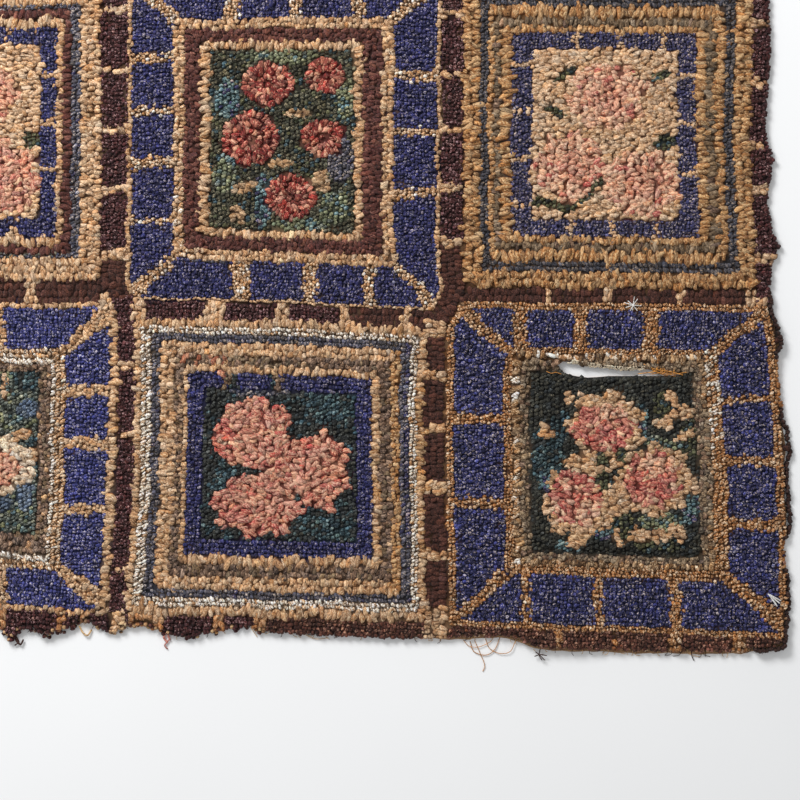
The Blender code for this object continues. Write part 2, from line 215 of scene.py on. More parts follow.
# The camel bars at the corners of a tiled ring: how far the bar's outer end is shifted up or down the upright
# side, and half the bar's width at its inner and its outer end
Mitre = namedtuple("Mitre", "column row upright level shift half_inner half_outer")
MITRES = [
    Mitre(0, 0, "left", "front", 0, 7, 9), Mitre(0, 0, "left", "back", 0, 7, 9),
    Mitre(0, 0, "right", "front", 13, 7, 13), Mitre(0, 0, "right", "back", 3, 7, 13),
    Mitre(1, 1, "left", "front", 0, 8, 10), Mitre(1, 1, "right", "front", 0, 7, 9),
    Mitre(1, 1, "left", "back", 0, 8, 9), Mitre(1, 1, "right", "back", 0, 7, 9),
    Mitre(2, 0, "left", "front", 0, 8, 8), Mitre(2, 0, "left", "back", 0, 8, 9),
    Mitre(2, 0, "right", "front", 11, 9, 13), Mitre(2, 0, "right", "back", 0, 7, 9),
]
BAR_YARN = {
    (0, 0): "camel", (1, 1): "camel_marl", (2, 0): "speckle", (0, 1): "camel", (2, 1): "camel_pale",
    (1, 0): "taupe",
}

# The bars between the blue tiles: the side of the block, and the start and end of each bar along it
Bars = namedtuple("Bars", "column row side spans")
BARS = [
    Bars(2, 0, "back", ((252, 268), (318, 334), (395, 413))),
    Bars(2, 0, "left", ((-223, -212), (-132, -121))),
    Bars(2, 0, "right", ((-248, -235), (-177, -167), (-107, -99))),
    Bars(2, 0, "front", ((261, 271), (342, 352), (424, 437))),
    Bars(0, 0, "right", ((-228, -220), (-157, -145), (-100, -87))),
    Bars(0, 0, "left", ((-233, -223), (-165, -155), (-100, -88))),
    Bars(0, 0, "back", ((-403, -391), (-321, -308))),
    Bars(0, 0, "front", ((-409, -397), (-321, -306))),
    Bars(1, 1, "left", ((90, 96), (151, 163), (208, 218), (267, 277))),
    Bars(1, 1, "right", ((118, 129), (186, 195), (248, 258))),
    Bars(1, 1, "front", ((-57, -37), (21, 36), (88, 100))),
    Bars(1, 1, "back", ((-65, -50), (7, 21), (75, 89))),
    Bars(2, 1, "left", ((108, 112), (160, 165), (212, 217), (263, 268))),
    Bars(2, 1, "right", ((142, 146), (197, 202), (249, 254))),
    Bars(2, 1, "front", ((311, 318), (360, 364), (408, 412))),
    Bars(2, 1, "back", ((320, 326), (369, 374), (416, 421))),
    Bars(0, 1, "right", ((145, 150), (199, 204), (250, 255))),
    Bars(0, 1, "left", ((150, 155), (205, 210), (254, 259))),
    Bars(0, 1, "front", ((-422, -417), (-362, -357), (-299, -294))),
    Bars(0, 1, "back", ((-411, -406), (-356, -351), (-307, -302))),
    Bars(1, 0, "back", ((-65, -57), (-10, -2))),
]

# Places where a ring was worked or mended in another yarn, and one patch that is only darker: an oval, the
# share of its loops, their yarn, and the yarn that it takes the place of
Spot = namedtuple("Spot", "x y half_width half_depth share yarn instead")
SPOTS = [
    Spot(-92, -58, 30, 8, 0.45, "rust", "taupe"),
    Spot(-9, -85, 7, 10, 1.0, "teal_dark", "blue_dark"), Spot(-55, -84, 6, 9, 0.8, "night", "blue_dark"),
    Spot(-62, -79, 12, 4, 0.9, "salmon", "blue_dark"), Spot(142, -150, 12, 190, 0.4, "blue_dusty", "slate"),
    # The gold camel at x 128 only makes the right rings of the front middle block's camel darker
    Spot(128, -180, 26, 150, 0.85, "camel_gold", "camel"), Spot(-30, -63, 40, 8, 0.6, "olive", "taupe"),
    Spot(290, -300, 60, 14, 0.7, "cream", "ridge"), Spot(258, -180, 8, 120, 0.20, "cream", "ridge"),
    Spot(360, -60, 95, 8, 0.4, "cream", "ridge"), Spot(470, -160, 10, 90, 0.6, "greige", "ridge"),
    Spot(-80, 60, 30, 14, 1.0, "slate", "blue_dark"), Spot(175, -345, 40, 30, 1.0, "camel_marl", "orange"),
    Spot(-230, 60, 16, 60, 0.8, "slate", "grey_green"), Spot(-300, 59, 60, 6, 0.8, "grey_green", "slate"),
    Spot(380, -372, 190, 24, 1.0, "speckle", "orange"), Spot(-118, -160, 8, 120, 0.15, "camel", "taupe"),
    Spot(-112, 130, 12, 100, 0.6, "camel_marl", "camel"), Spot(0, 66, 90, 8, 0.5, "camel_marl", "camel"),
    Spot(470, -100, 16, 60, 0.5, "cream", "speckle"), Spot(-330, -60, 60, 12, 0.5, "cream", "camel_marl"),
]

# Yarns worked together: a share of the first one's loops are of the second
Mixed = namedtuple("Mixed", "yarn other share")
MIXED = [
    Mixed("rose_red", "rose_pale", 0.26), Mixed("rose_pale", "rose_red", 0.10), Mixed("rose", "salmon", 0.30),
    Mixed("rose", "rose_red", 0.12), Mixed("salmon", "rose", 0.22), Mixed("salmon", "rose_pale", 0.22),
    Mixed("red", "salmon", 0.12), Mixed("teal_dark", "teal", 0.18), Mixed("teal_dark", "night", 0.22),
    Mixed("teal", "blue_dusty", 0.22), Mixed("leaf", "teal", 0.20), Mixed("leaf", "moss", 0.15),
    Mixed("leaf_dark", "teal_dark", 0.20), Mixed("leaf_dark", "forest", 0.20), Mixed("forest", "night", 0.20),
    Mixed("night", "teal_dark", 0.16), Mixed("green", "leaf_dark", 0.16), Mixed("green", "teal_dark", 0.12),
    Mixed("moss", "leaf", 0.20), Mixed("moss", "teal", 0.14), Mixed("camel", "camel_pale", 0.30),
    Mixed("taupe", "camel", 0.05), Mixed("taupe", "olive", 0.16), Mixed("olive", "taupe", 0.16),
    Mixed("ridge", "camel_marl", 0.22), Mixed("greige", "taupe", 0.16), Mixed("plush_warm", "plush", 0.28),
    Mixed("cream", "camel_marl", 0.14), Mixed("slate", "slate_brown", 0.16),
    Mixed("blue", "blue_bright", 0.25), Mixed("camel_marl", "cream", 0.12),
    Mixed("speckle", "camel_marl", 0.20), Mixed("slate", "blue_dusty", 0.05),
]

# The brown oblongs along the sashes, with the yarn that fills the gaps between them
Oblongs = namedtuple("Oblongs", "run line yarn spans")
OBLONGS = [
    Oblongs("upright", 0, "heather", tuple((at, at + 59) for at in range(-375, 330, 68))),
    Oblongs(
        "upright", 1, "heather",
        ((-338, -294), (-288, -232), (-231, -148), (-141, -72), (-62, 8), (61, 124), (131, 189), (197, 256),
         (263, 322), (329, 380)),
    ),
    Oblongs("upright", 1, "plush", ((8, 50),)),
    Oblongs(
        "upright", 2, "heather", ((74, 123), (131, 190), (197, 252), (258, 317), (324, 374)),
    ),
    Oblongs(
        "upright", 2, "plush", ((-334, -280), (-268, -207), (-196, -143), (-133, -82), (-72, -36), (-16, 66)),
    ),
    Oblongs("upright", 3, "heather", ((-1, 46), (55, 120), (133, 173), (179, 241), (250, 305), (314, 369))),
    Oblongs("upright", 3, "plush", ((-391, -1),)),
    Oblongs(
        "level", 0, "heather",
        ((-549, -505), (-497, -444), (-436, -385), (-376, -319), (-308, -249), (-243, -226), (-216, -172),
         (-136, -78), (-68, -31)),
    ),
    Oblongs("level", 0, "plush_warm", ((-22, 298), (305, 363), (366, 422), (438, 493), (510, 568))),
    Oblongs("level", 1, "heather", ((-532, -472), (-462, -400), (-153, -88), (-65, -8), (3, 63))),
    Oblongs(
        "level", 1, "plush",
        ((-392, -328), (-319, -284), (-272, -204), (73, 128), (139, 288), (295, 353), (361, 431), (440, 509)),
    ),
    Oblongs("level", 2, "heather", tuple((at, at + 57) for at in range(-538, 520, 66))),
]

# The flower panels, from the lowest patch of colour to the highest: each is an oval with scalloped petals
Motif = namedtuple("Motif", "column row yarn x y half_width half_depth turn petals")
MOTIFS = [
    Motif(1, 0, "teal_dark", 51, -110, 33, 22, 0, 0), Motif(1, 0, "teal_dark", 45, -234, 32, 25, 0, 0),
    Motif(1, 0, "teal_dark", -64, -190, 12, 26, 0, 0), Motif(1, 0, "slate", -24, -95, 35, 6, 0, 0),
    Motif(1, 0, "rose", -35, -140, 42, 38, 0, 7), Motif(1, 0, "rose", 40, -182, 30, 43, 0, 7),
    Motif(1, 0, "rose", -30, -220, 46, 35, 0, 8), Motif(1, 0, "rose", 4, -179, 29, 32, 0, 0),
    Motif(1, 0, "rose_red", -64, -148, 14, 22, 10, 0), Motif(1, 0, "rose_red", -9, -138, 14, 9, 0, 0),
    Motif(1, 0, "rose_red", -52, -231, 14, 9, 0, 0),
    Motif(2, 0, "teal_dark", 290, -165, 19, 33, 0, 0), Motif(2, 0, "teal", 392, -127, 9, 19, 0, 0),
    Motif(2, 0, "teal", 289, -195, 9, 11, 0, 0), Motif(2, 0, "leaf", 408, -153, 28, 8, -8, 0),
    Motif(2, 0, "leaf_dark", 447, -148, 11, 22, 0, 0), Motif(2, 0, "teal_dark", 304, -132, 13, 15, 0, 0),
    Motif(2, 0, "leaf", 416, -238, 26, 11, 0, 0), Motif(2, 0, "teal", 355, -250, 14, 9, 30, 0),
    Motif(2, 0, "teal", 448, -222, 11, 18, 0, 0), Motif(2, 0, "leaf_dark", 373, -242, 11, 15, 0, 0),
    Motif(2, 0, "teal", 315, -264, 15, 7, 0, 0), Motif(2, 0, "leaf_dark", 414, -264, 29, 7, 0, 0),
    Motif(2, 0, "leaf_dark", 419, -110, 13, 15, 0, 0),
    Motif(2, 0, "camel", 355, -134, 41, 39, 0, 7), Motif(2, 0, "camel", 408, -193, 41, 39, 0, 8),
    Motif(2, 0, "camel", 326, -215, 39, 41, 0, 8), Motif(2, 0, "camel", 361, -215, 17, 18, 0, 0),
    Motif(2, 0, "camel", 344, -173, 37, 10, 0, 0), Motif(2, 0, "camel", 310, -103, 6, 10, 15, 0),
    Motif(2, 0, "camel", 290, -138, 6, 11, 20, 0), Motif(2, 0, "camel", 427, -102, 6, 10, 20, 0),
    Motif(2, 0, "camel", 436, -120, 14, 6, 10, 0), Motif(2, 0, "camel", 418, -131, 12, 6, -15, 0),
    Motif(2, 0, "camel", 438, -145, 13, 4, 35, 0), Motif(2, 0, "camel", 393, -254, 10, 9, 0, 0),
    Motif(2, 0, "camel", 414, -255, 12, 6, 10, 0), Motif(2, 0, "camel", 435, -252, 7, 11, 30, 0),
    Motif(2, 0, "camel", 366, -256, 4, 10, 0, 0), Motif(2, 0, "camel", 323, -258, 10, 7, 0, 0),
    Motif(2, 0, "camel", 447, -200, 9, 10, 0, 0),
    Motif(2, 0, "rose_red", 351, -135, 33, 26, 0, 6), Motif(2, 0, "rose_pale", 361, -118, 19, 9, 0, 0),
    Motif(2, 0, "rose_red", 405, -193, 32, 30, 0, 7), Motif(2, 0, "rose_pale", 411, -176, 22, 10, 0, 0),
    Motif(2, 0, "rose_red", 321, -212, 28, 30, 0, 6), Motif(2, 0, "rose_pale", 331, -228, 14, 14, 0, 0),
    Motif(2, 0, "leaf_dark", 348, -170, 9, 9, 0, 0), Motif(2, 0, "leaf_dark", 371, -165, 8, 10, 0, 0),
    Motif(2, 0, "leaf_dark", 353, -193, 8, 11, 0, 0),
    Motif(1, 1, "teal", -24, 116, 10, 29, 0, 0), Motif(1, 1, "slate", 62, 160, 15, 24, 0, 0),
    Motif(1, 1, "leaf", 56, 107, 15, 20, 0, 0), Motif(1, 1, "leaf", -65, 143, 13, 18, 0, 0),
    Motif(1, 1, "teal", -57, 170, 13, 11, 0, 0), Motif(1, 1, "tan", -45, 129, 13, 6, 20, 0),
    Motif(1, 1, "tan", -2, 156, 15, 4, 0, 0), Motif(1, 1, "tan", 42, 135, 9, 13, 20, 0),
    Motif(1, 1, "tan", -51, 99, 9, 9, 0, 0), Motif(1, 1, "leaf", 18, 88, 33, 7, 0, 0),
    Motif(1, 1, "teal", -62, 228, 13, 22, 0, 0), Motif(1, 1, "leaf", 67, 228, 11, 26, 0, 0),
    Motif(1, 1, "tan", 18, 212, 18, 4, 0, 0), Motif(1, 1, "leaf", -4, 275, 44, 9, 0, 0),
    Motif(1, 1, "red", -37, 183, 32, 31, 0, 7), Motif(1, 1, "red", 42, 184, 26, 21, 0, 6),
    Motif(1, 1, "red", 7, 119, 30, 26, 0, 7), Motif(1, 1, "red", -18, 243, 30, 25, 0, 7),
    Motif(1, 1, "red", 45, 253, 23, 21, 0, 6),
    Motif(2, 1, "rose_pale", 315, 153, 38, 37, 0, 8), Motif(2, 1, "rose_pale", 393, 134, 42, 36, 0, 8),
    Motif(2, 1, "rose_pale", 356, 230, 42, 36, 0, 8), Motif(2, 1, "salmon", 321, 151, 22, 19, 0, 0),
    Motif(2, 1, "salmon", 398, 136, 25, 19, 0, 0), Motif(2, 1, "salmon", 359, 228, 23, 19, 0, 0),
    Motif(2, 1, "leaf_dark", 285, 112, 14, 6, 0, 0), Motif(2, 1, "leaf_dark", 308, 107, 14, 5, 0, 0),
    Motif(2, 1, "leaf_dark", 329, 117, 13, 5, 35, 0), Motif(2, 1, "leaf_dark", 343, 133, 10, 4, 60, 0),
    Motif(2, 1, "leaf_dark", 420, 180, 13, 9, 20, 0), Motif(2, 1, "leaf_dark", 299, 212, 13, 6, -30, 0),
    Motif(2, 1, "leaf_dark", 414, 252, 14, 6, 25, 0), Motif(2, 1, "leaf_dark", 310, 256, 15, 4, 30, 0),
    Motif(0, 1, "salmon", -319, 140, 50, 42, 0, 8), Motif(0, 1, "salmon", -398, 195, 42, 38, 0, 8),
    Motif(0, 1, "salmon", -326, 234, 33, 29, 0, 7), Motif(0, 1, "rose", -321, 138, 22, 18, 0, 0),
    Motif(0, 1, "rose", -398, 195, 19, 16, 0, 0), Motif(0, 1, "leaf_dark", -278, 182, 11, 9, 0, 0),
    Motif(0, 1, "leaf_dark", -359, 116, 15, 6, 20, 0), Motif(0, 1, "leaf_dark", -365, 245, 13, 7, -30, 0),
    Motif(0, 1, "leaf_dark", -433, 138, 9, 15, 0, 0),
    Motif(0, 0, "storm", -281, -115, 14, 11, 0, 0), Motif(0, 0, "storm", -285, -204, 10, 25, 0, 0),
    Motif(0, 0, "teal_dark", -282, -82, 14, 13, 0, 0), Motif(0, 0, "teal_dark", -277, -162, 8, 17, 0, 0),
    Motif(0, 0, "storm", -308, -218, 9, 9, 0, 0), Motif(0, 0, "teal", -356, -105, 15, 10, 0, 0),
    Motif(0, 0, "teal", -422, -182, 12, 24, 0, 0), Motif(0, 0, "teal", -356, -231, 18, 10, 0, 0),
    Motif(0, 0, "cream_rose", -317, -175, 41, 32, 0, 7), Motif(0, 0, "cream_rose", -398, -131, 36, 31, 0, 7),
    Motif(0, 0, "cream_rose", -392, -215, 33, 29, 0, 7), Motif(0, 0, "camel", -309, -91, 3, 15, 0, 0),
    Motif(0, 0, "camel", -288, -140, 13, 4, 20, 0), Motif(0, 0, "camel", -362, -160, 15, 4, -20, 0),
    Motif(0, 0, "camel", -334, -110, 4, 15, 10, 0), Motif(0, 0, "camel", -431, -154, 4, 20, 0, 0),
    Motif(0, 0, "camel", -274, -165, 6, 9, 0, 0), Motif(0, 0, "salmon", -314, -180, 22, 18, 0, 6),
    Motif(0, 0, "salmon", -398, -131, 20, 16, 0, 5), Motif(0, 0, "salmon", -392, -215, 18, 15, 0, 5),
]


def read_off(rows, at, column=1):
    """One column of a table at the given places, read off straight lines between its rows."""
    table = np.array(rows, float)
    return np.interp(at, table[:, 0], table[:, column])


def ragged(at, turn):
    """A small uneven inset, from 0 to about two RAGs, that differs for each edge: two sines added."""
    return RAG * (2 + np.sin(at * 0.270 + turn) + np.sin(at * 0.611 + 2 * turn)) / 2


def rounded(near):
    """How far an edge draws in at this distance from a corner: a quarter circle."""
    part = np.clip(CORNER_ROUND - near, 0, CORNER_ROUND)
    return CORNER_ROUND - np.sqrt(CORNER_ROUND ** 2 - part ** 2)


def front_y(x):
    return -DEPTH / 2 + read_off(FRONT_EDGE, x) + ragged(x, 0.3)


def back_y(x):
    return DEPTH / 2 - read_off(BACK_EDGE, x) - ragged(x, 1.7)


def left_x(y):
    return -WIDTH / 2 + read_off(LEFT_EDGE, y) + ragged(y, 2.9)


def right_x(y):
    return WIDTH / 2 - read_off(RIGHT_EDGE, y) - ragged(y, 4.1)


def edge_distance(x, y):
    """How far a point lies inside the nearest edge, less than 0 outside, with the corners rounded."""
    level = np.minimum(y - front_y(x), back_y(x) - y)
    upright = np.minimum(x - left_x(y), right_x(y) - x)
    near = np.minimum(level, upright)
    both = (level < CORNER_ROUND) & (upright < CORNER_ROUND)
    round_off = CORNER_ROUND - np.hypot(CORNER_ROUND - level, CORNER_ROUND - upright)
    return np.where(both, round_off, near)


def tear_distance(x, y):
    """How far a point lies outside the tear, less than 0 within it."""
    beyond = np.maximum(TEAR_LEFT - x, x - TEAR_RIGHT)
    over = np.maximum(y - read_off(TEAR, x, 1), read_off(TEAR, x, 2) - y)
    return np.where((beyond > 0) & (over > 0), np.hypot(beyond, over), np.maximum(beyond, over))


def hem_share(x, y):
    """1 where the foundation's turned edge shows past the loops: the right part of the front edge."""
    return np.clip((x - HEM_STARTS) / (HEM_ENDS - HEM_STARTS), 0, 1) * (y < -DEPTH / 2 + 50)


def roll_share(x, y):
    """1 along the right edge where a thin dark roll of brushed wool is left outside the camel."""
    return read_off(ROLL, y) * (x > WIDTH / 2 - 40)


def lift(x, y):
    """How far the rug is off the floor: smooth humps that die out at their reach."""
    height = np.zeros(np.shape(x))
    for row in LIFTS:
        away = ((x - row.x) ** 2 + (y - row.y) ** 2) / row.reach ** 2
        height += row.height * np.clip(1 - away, 0, 1) ** 2
    return height


def sash_x(line, y):
    return read_off(UPRIGHT_SASHES[line], y)


def sash_y(line, x):
    return read_off(LEVEL_SASHES[line], x)


def fade(distance, half, slope):
    """1 within half of a line, 0 past half plus slope, and straight between."""
    return np.clip((half + slope - np.abs(distance)) / slope, 0, 1)


def block_at(x, y):
    """The column and the row of the block that each point belongs to, parted at the sashes' middle lines."""
    column = (x > sash_x(1, y)).astype(int) + (x > sash_x(2, y))
    row = (y > sash_y(1, x)).astype(int)
    return column, row


def sides(x, y):
    """The distances from each point to its block's left, right, front and back sash lines."""
    column, row = block_at(x, y)
    upright = np.stack([sash_x(line, y) for line in range(4)])
    level = np.stack([sash_y(line, x) for line in range(3)])
    left = x - np.take_along_axis(upright, column[None], 0)[0]
    right = np.take_along_axis(upright, column[None] + 1, 0)[0] - x
    front = y - np.take_along_axis(level, row[None], 0)[0]
    back = np.take_along_axis(level, row[None] + 1, 0)[0] - y
    return column, row, np.stack((left, right, front, back))


def surface_height(x, y):
    """The top of the loops: swells, with the sashes worn lower and a groove round each flower panel."""
    height = FOUNDATION_THICKNESS + GAP + PILE_HEIGHT + lift(x, y)
    for row in SWELLS:
        height = height + row.height * np.sin(x * MM * row.along_x + y * MM * row.along_y + row.phase)
    column, block_row, away = sides(x, y)
    sash = fade(away.min(axis=0), SASH_HALF, SLOPE)
    groove = np.zeros(np.shape(x))
    for row in PANELS:
        here = (column == row.column) & (block_row == row.row)
        edges = np.array((row.left, row.right, row.front, row.back))
        inside = (away - edges.reshape((4,) + (1,) * np.ndim(x))).min(axis=0)
        groove = np.where(here, row.groove * fade(inside, SEAM_HALF / 2, SLOPE), groove)
    return height - SASH_DROP * sash - groove


def waves(x, y, count, shortest, longest, seed):
    """A smooth uneven field of about -1 to 1: sines of mixed lengths and directions, added."""
    pick = np.random.default_rng(seed)
    total = np.zeros(np.shape(x))
    for _ in range(count):
        angle, phase = pick.uniform(0, 2 * np.pi, 2)
        length = np.exp(pick.uniform(np.log(shortest), np.log(longest)))
        total += np.sin((x * np.cos(angle) + y * np.sin(angle)) * 2 * np.pi / length + phase)
    return total / np.sqrt(count)


def wander(x, y):
    """Points moved a little, so that the hooked lines waver as hand work does."""
    far = (waves(x, y, 6, 35, 120, 11), waves(x, y, 6, 35, 120, 12))
    near = (waves(x, y, 8, 13, 32, 13), waves(x, y, 8, 13, 32, 14))
    return x + 0.9 * far[0] + 0.6 * near[0], y + 0.9 * far[1] + 0.6 * near[1]


# The loops, gathered as rows of equal columns
COLUMNS = ("x", "y", "heading", "along", "across", "yarn", "block")
gathered = {name: [] for name in COLUMNS}


def gather(x, y, heading, along, across, yarn, block):
    """Adds loops; a single value stands for all of them."""
    parts = np.broadcast_arrays(x, y, heading, along, across, yarn, block)
    for name, part in zip(COLUMNS, parts):
        gathered[name].append(np.array(part, float).ravel())


def spaced(path, pitch):
    """Points along a path at nearly even steps: place, heading, step, and the share of the way."""
    steps = np.hypot(*np.diff(path, axis=0).T)
    travelled = np.concatenate(([0], np.cumsum(steps)))
    count = max(2, int(round(travelled[-1] / pitch)))
    step = travelled[-1] / count
    at = (np.arange(count) + 0.5 + rng.uniform(-0.24, 0.24, count)) * step
    x = np.interp(at, travelled, path[:, 0])
    y = np.interp(at, travelled, path[:, 1])
    turn = np.arctan2(*np.diff(path, axis=0).T[::-1])
    heading = turn[np.clip(np.searchsorted(travelled, at) - 1, 0, len(turn) - 1)]
    return x, y, heading, step, at


def ring_corner(frame_row, offsets, upright, level):
    """Where a ring's line along one side meets its line along another."""
    column, row = frame_row.column, frame_row.row
    x, y = 0.0, 0.0
    for _ in range(8):
        if upright == "left":
            x = sash_x(column, y) + offsets["left"]
        else:
            x = sash_x(column + 1, y) - offsets["right"]
        if level == "front":
            y = sash_y(row, x) + offsets["front"]
        else:
            y = sash_y(row + 1, x) - offsets["back"]
    return np.array((x, y), float)


def ring_sides(frame_row, offsets):
    """The four sides of one line of a ring, anticlockwise: each a name and its points about 3 mm apart."""
    corners = {
        (upright, level): ring_corner(frame_row, offsets, upright, level)
        for upright in ("left", "right") for level in ("front", "back")
    }
    order = [
        ("front", ("left", "front"), ("right", "front")), ("right", ("right", "front"), ("right", "back")),
        ("back", ("right", "back"), ("left", "back")), ("left", ("left", "back"), ("left", "front")),
    ]
    for side, start, end in order:
        first, last = corners[start], corners[end]
        count = max(3, int(np.hypot(*(last - first)) / 3))
        share = np.linspace(0, 1, count)
        x = first[0] + (last[0] - first[0]) * share
        y = first[1] + (last[1] - first[1]) * share
        if side == "front":
            y = sash_y(frame_row.row, x) + offsets[side]
        elif side == "back":
            y = sash_y(frame_row.row + 1, x) - offsets[side]
        elif side == "left":
            x = sash_x(frame_row.column, y) + offsets[side]
        else:
            x = sash_x(frame_row.column + 1, y) - offsets[side]
        yield side, np.stack((x, y), axis=1)


def in_spans(at, spans):
    inside = np.zeros(np.shape(at), bool)
    for start, end in spans:
        inside |= (at > start) & (at < end)
    return inside


def near_mitre(row, side, at, length, share):
    """Whether places along one side of a tiled ring lie in a corner's bar: a band round a slanting line."""
    if side not in (row.upright, row.level):
        return np.zeros(len(at), bool)
    starts = {"front": "left", "right": "front", "back": "right", "left": "back"}
    other = row.level if side == row.upright else row.upright
    gone = at if starts[side] == other else length - at
    gone = gone if side == row.upright else -gone
    half = row.half_outer + (row.half_inner - row.half_outer) * share
    return np.abs(gone - row.shift * (1 - share)) < half + rng.normal(0, 1.2, len(at))


def bar_yarns(frame_row, ring, side, x, y, at, length, share):
    """The yarn of each loop of a tiled ring: blue tiles, with bars between them and at the mitres."""
    key = (frame_row.column, frame_row.row)
    yarn = np.full(len(x), YARN_AT[frame_row.rings[ring]])
    along = (x if side in ("front", "back") else y) + rng.normal(0, 1.3, len(x))
    bar = np.zeros(len(x), bool)
    for row in BARS:
        if (row.column, row.row, row.side) == key + (side,):
            bar |= in_spans(along, row.spans)
    for row in MITRES:
        if (row.column, row.row) == key:
            bar |= near_mitre(row, side, at, length, share)
    yarn[bar] = YARN_AT[BAR_YARN[key]]
    return yarn


def lay_rings(frame_row):
    """The rings of one block: each is a band of rows side by side, and each row runs round all four sides."""
    key = (frame_row.column, frame_row.row)
    names = ("left", "right", "front", "back")
    for ring, yarn_name in enumerate(frame_row.rings):
        yarn = YARNS[yarn_name]
        starts = {side: getattr(frame_row, side)[ring] for side in names}
        widths = {side: getattr(frame_row, side)[ring + 1] - starts[side] for side in names}
        rows = max(1, int(round((np.mean(list(widths.values())) + max(widths.values())) / 2 / yarn.across)))
        for line in range(rows):
            share = (line + 0.5) / rows
            offsets = {side: starts[side] + widths[side] * share for side in names}
            for side, path in ring_sides(frame_row, offsets):
                x, y, heading, step, at = spaced(path, yarn.along)
                length = np.hypot(*np.diff(path, axis=0).T).sum()
                if TILE_RINGS.get(key) == ring:
                    which = bar_yarns(frame_row, ring, side, x, y, at, length, share)
                else:
                    which = YARN_AT[yarn_name]
                gather(x, y, heading, step, widths[side] / rows, which, block_number(frame_row))


def block_number(row):
    return row.column + 3 * row.row


def panel_yarn(frame_row, x, y):
    """The yarn at each point of a panel: the ground, and over it each motif's oval with its scallops."""
    yarn = np.full(np.shape(x), YARN_AT[frame_row.ground])
    for row in MOTIFS:
        if (row.column, row.row) != (frame_row.column, frame_row.row):
            continue
        turn = np.radians(row.turn)
        along = (x - row.x) * np.cos(turn) + (y - row.y) * np.sin(turn)
        deep = (y - row.y) * np.cos(turn) - (x - row.x) * np.sin(turn)
        angle = np.arctan2(deep / row.half_depth, along / row.half_width)
        reach = 1 + 0.09 * np.cos(row.petals * angle + row.x) * (row.petals > 0)
        inside = np.hypot(along / row.half_width, deep / row.half_depth) < reach
        yarn[inside] = YARN_AT[row.yarn]
    return yarn


def in_panel(frame_row, x, y):
    """How far inside the panel's edge each point lies."""
    left = x - sash_x(frame_row.column, y) - frame_row.left[-1]
    right = sash_x(frame_row.column + 1, y) - frame_row.right[-1] - x
    front = y - sash_y(frame_row.row, x) - frame_row.front[-1]
    back = sash_y(frame_row.row + 1, x) - frame_row.back[-1] - y
    return np.minimum(np.minimum(left, right), np.minimum(front, back))


# The strips of a panel lie a little closer than elsewhere, and its rows begin this far outside it
PANEL_CLOSER = 0.93
PANEL_MARGIN = 10
BROAD_STRIP = 7.7


def lay_panel(frame_row):
    """The flower panel: each yarn in upright rows like bricks, where the motifs call for it.

    A red flower is laid apart, as rings round its middle.
    """
    edges = {side: getattr(frame_row, side)[-1] for side in ("left", "right", "front", "back")}
    x0, y0 = ring_corner(frame_row, edges, "left", "front") - PANEL_MARGIN
    x1, y1 = ring_corner(frame_row, edges, "right", "back") + PANEL_MARGIN
    used = {frame_row.ground}
    used |= {row.yarn for row in MOTIFS if (row.column, row.row) == (frame_row.column, frame_row.row)}
    for name in sorted(used):
        if name == "red":
            continue
        yarn = YARNS[name]
        closer = PANEL_CLOSER if yarn.work == "strip" else 1.0
        columns = np.arange(x0, x1, yarn.across * closer)
        places = np.arange(y0, y1, yarn.along * closer)
        x, y = np.meshgrid(columns, places)
        y = y + yarn.along / 2 * (np.arange(len(columns)) % 2)[None] + rng.uniform(-0.7, 0.7, x.shape)
        stagger = 0.24 * yarn.across if yarn.work == "strip" else 0.5
        x = x + 1.4 * waves(x, y, 3, 30, 90, 31) + rng.uniform(-stagger, stagger, x.shape)
        swirl = 0.50 if yarn.across > BROAD_STRIP else 0.12
        heading = np.pi / 2 + swirl * waves(x, y, 4, 20, 60, 32)
        inside = in_panel(frame_row, x, y) > min(yarn.across, yarn.along) * 0.30
        keep = inside & (panel_yarn(frame_row, x, y) == YARN_AT[name])
        gather(
            x[keep], y[keep], heading[keep], yarn.along, yarn.across, YARN_AT[name], block_number(frame_row)
        )
    for row in MOTIFS:
        if (row.column, row.row, row.yarn) == (frame_row.column, frame_row.row, "red"):
            lay_flower(frame_row, row)


def lay_flower(frame_row, motif):
    """A round flower: rings of loops round its middle, each loop pointing outwards."""
    yarn = YARNS[motif.yarn]
    rings = int(round(min(motif.half_width, motif.half_depth) / yarn.across))
    gather(motif.x, motif.y, 0.6, yarn.along, yarn.along, YARN_AT[motif.yarn], block_number(frame_row))
    for ring in range(1, rings):
        share = (ring + 0.35) / rings
        angle = np.linspace(0, 2 * np.pi, 90)
        path = np.stack((
            motif.x + motif.half_width * share * np.cos(angle),
            motif.y + motif.half_depth * share * np.sin(angle),
        ), axis=1)
        x, y, heading, step, _ = spaced(path, yarn.along)
        keep = (in_panel(frame_row, x, y) > 2) & (panel_yarn(frame_row, x, y) == YARN_AT[motif.yarn])
        gather(
            x[keep], y[keep], heading[keep], step, yarn.across, YARN_AT[motif.yarn], block_number(frame_row)
        )


def frame_depth(x, y):
    """Which ring each point lies in, counted from the sash and below 0 on one, with its block and distances.

    The second value says whether an upright sash is the one that the point lies on.
    """
    column, row, away = sides(x, y)
    ring = np.full((4,) + np.shape(x), -1.0)
    for frame_row in FRAMES:
        here = (column == frame_row.column) & (row == frame_row.row)
        for side, name in enumerate(("left", "right", "front", "back")):
            offsets = np.array(getattr(frame_row, name), float)
            depth = np.interp(away[side], offsets, np.arange(len(offsets)), left=-1.0)
            ring[side] = np.where(here, depth, ring[side])
    upright = ring[:2].min(axis=0) < 0
    return ring.min(axis=0), upright, column, row, away


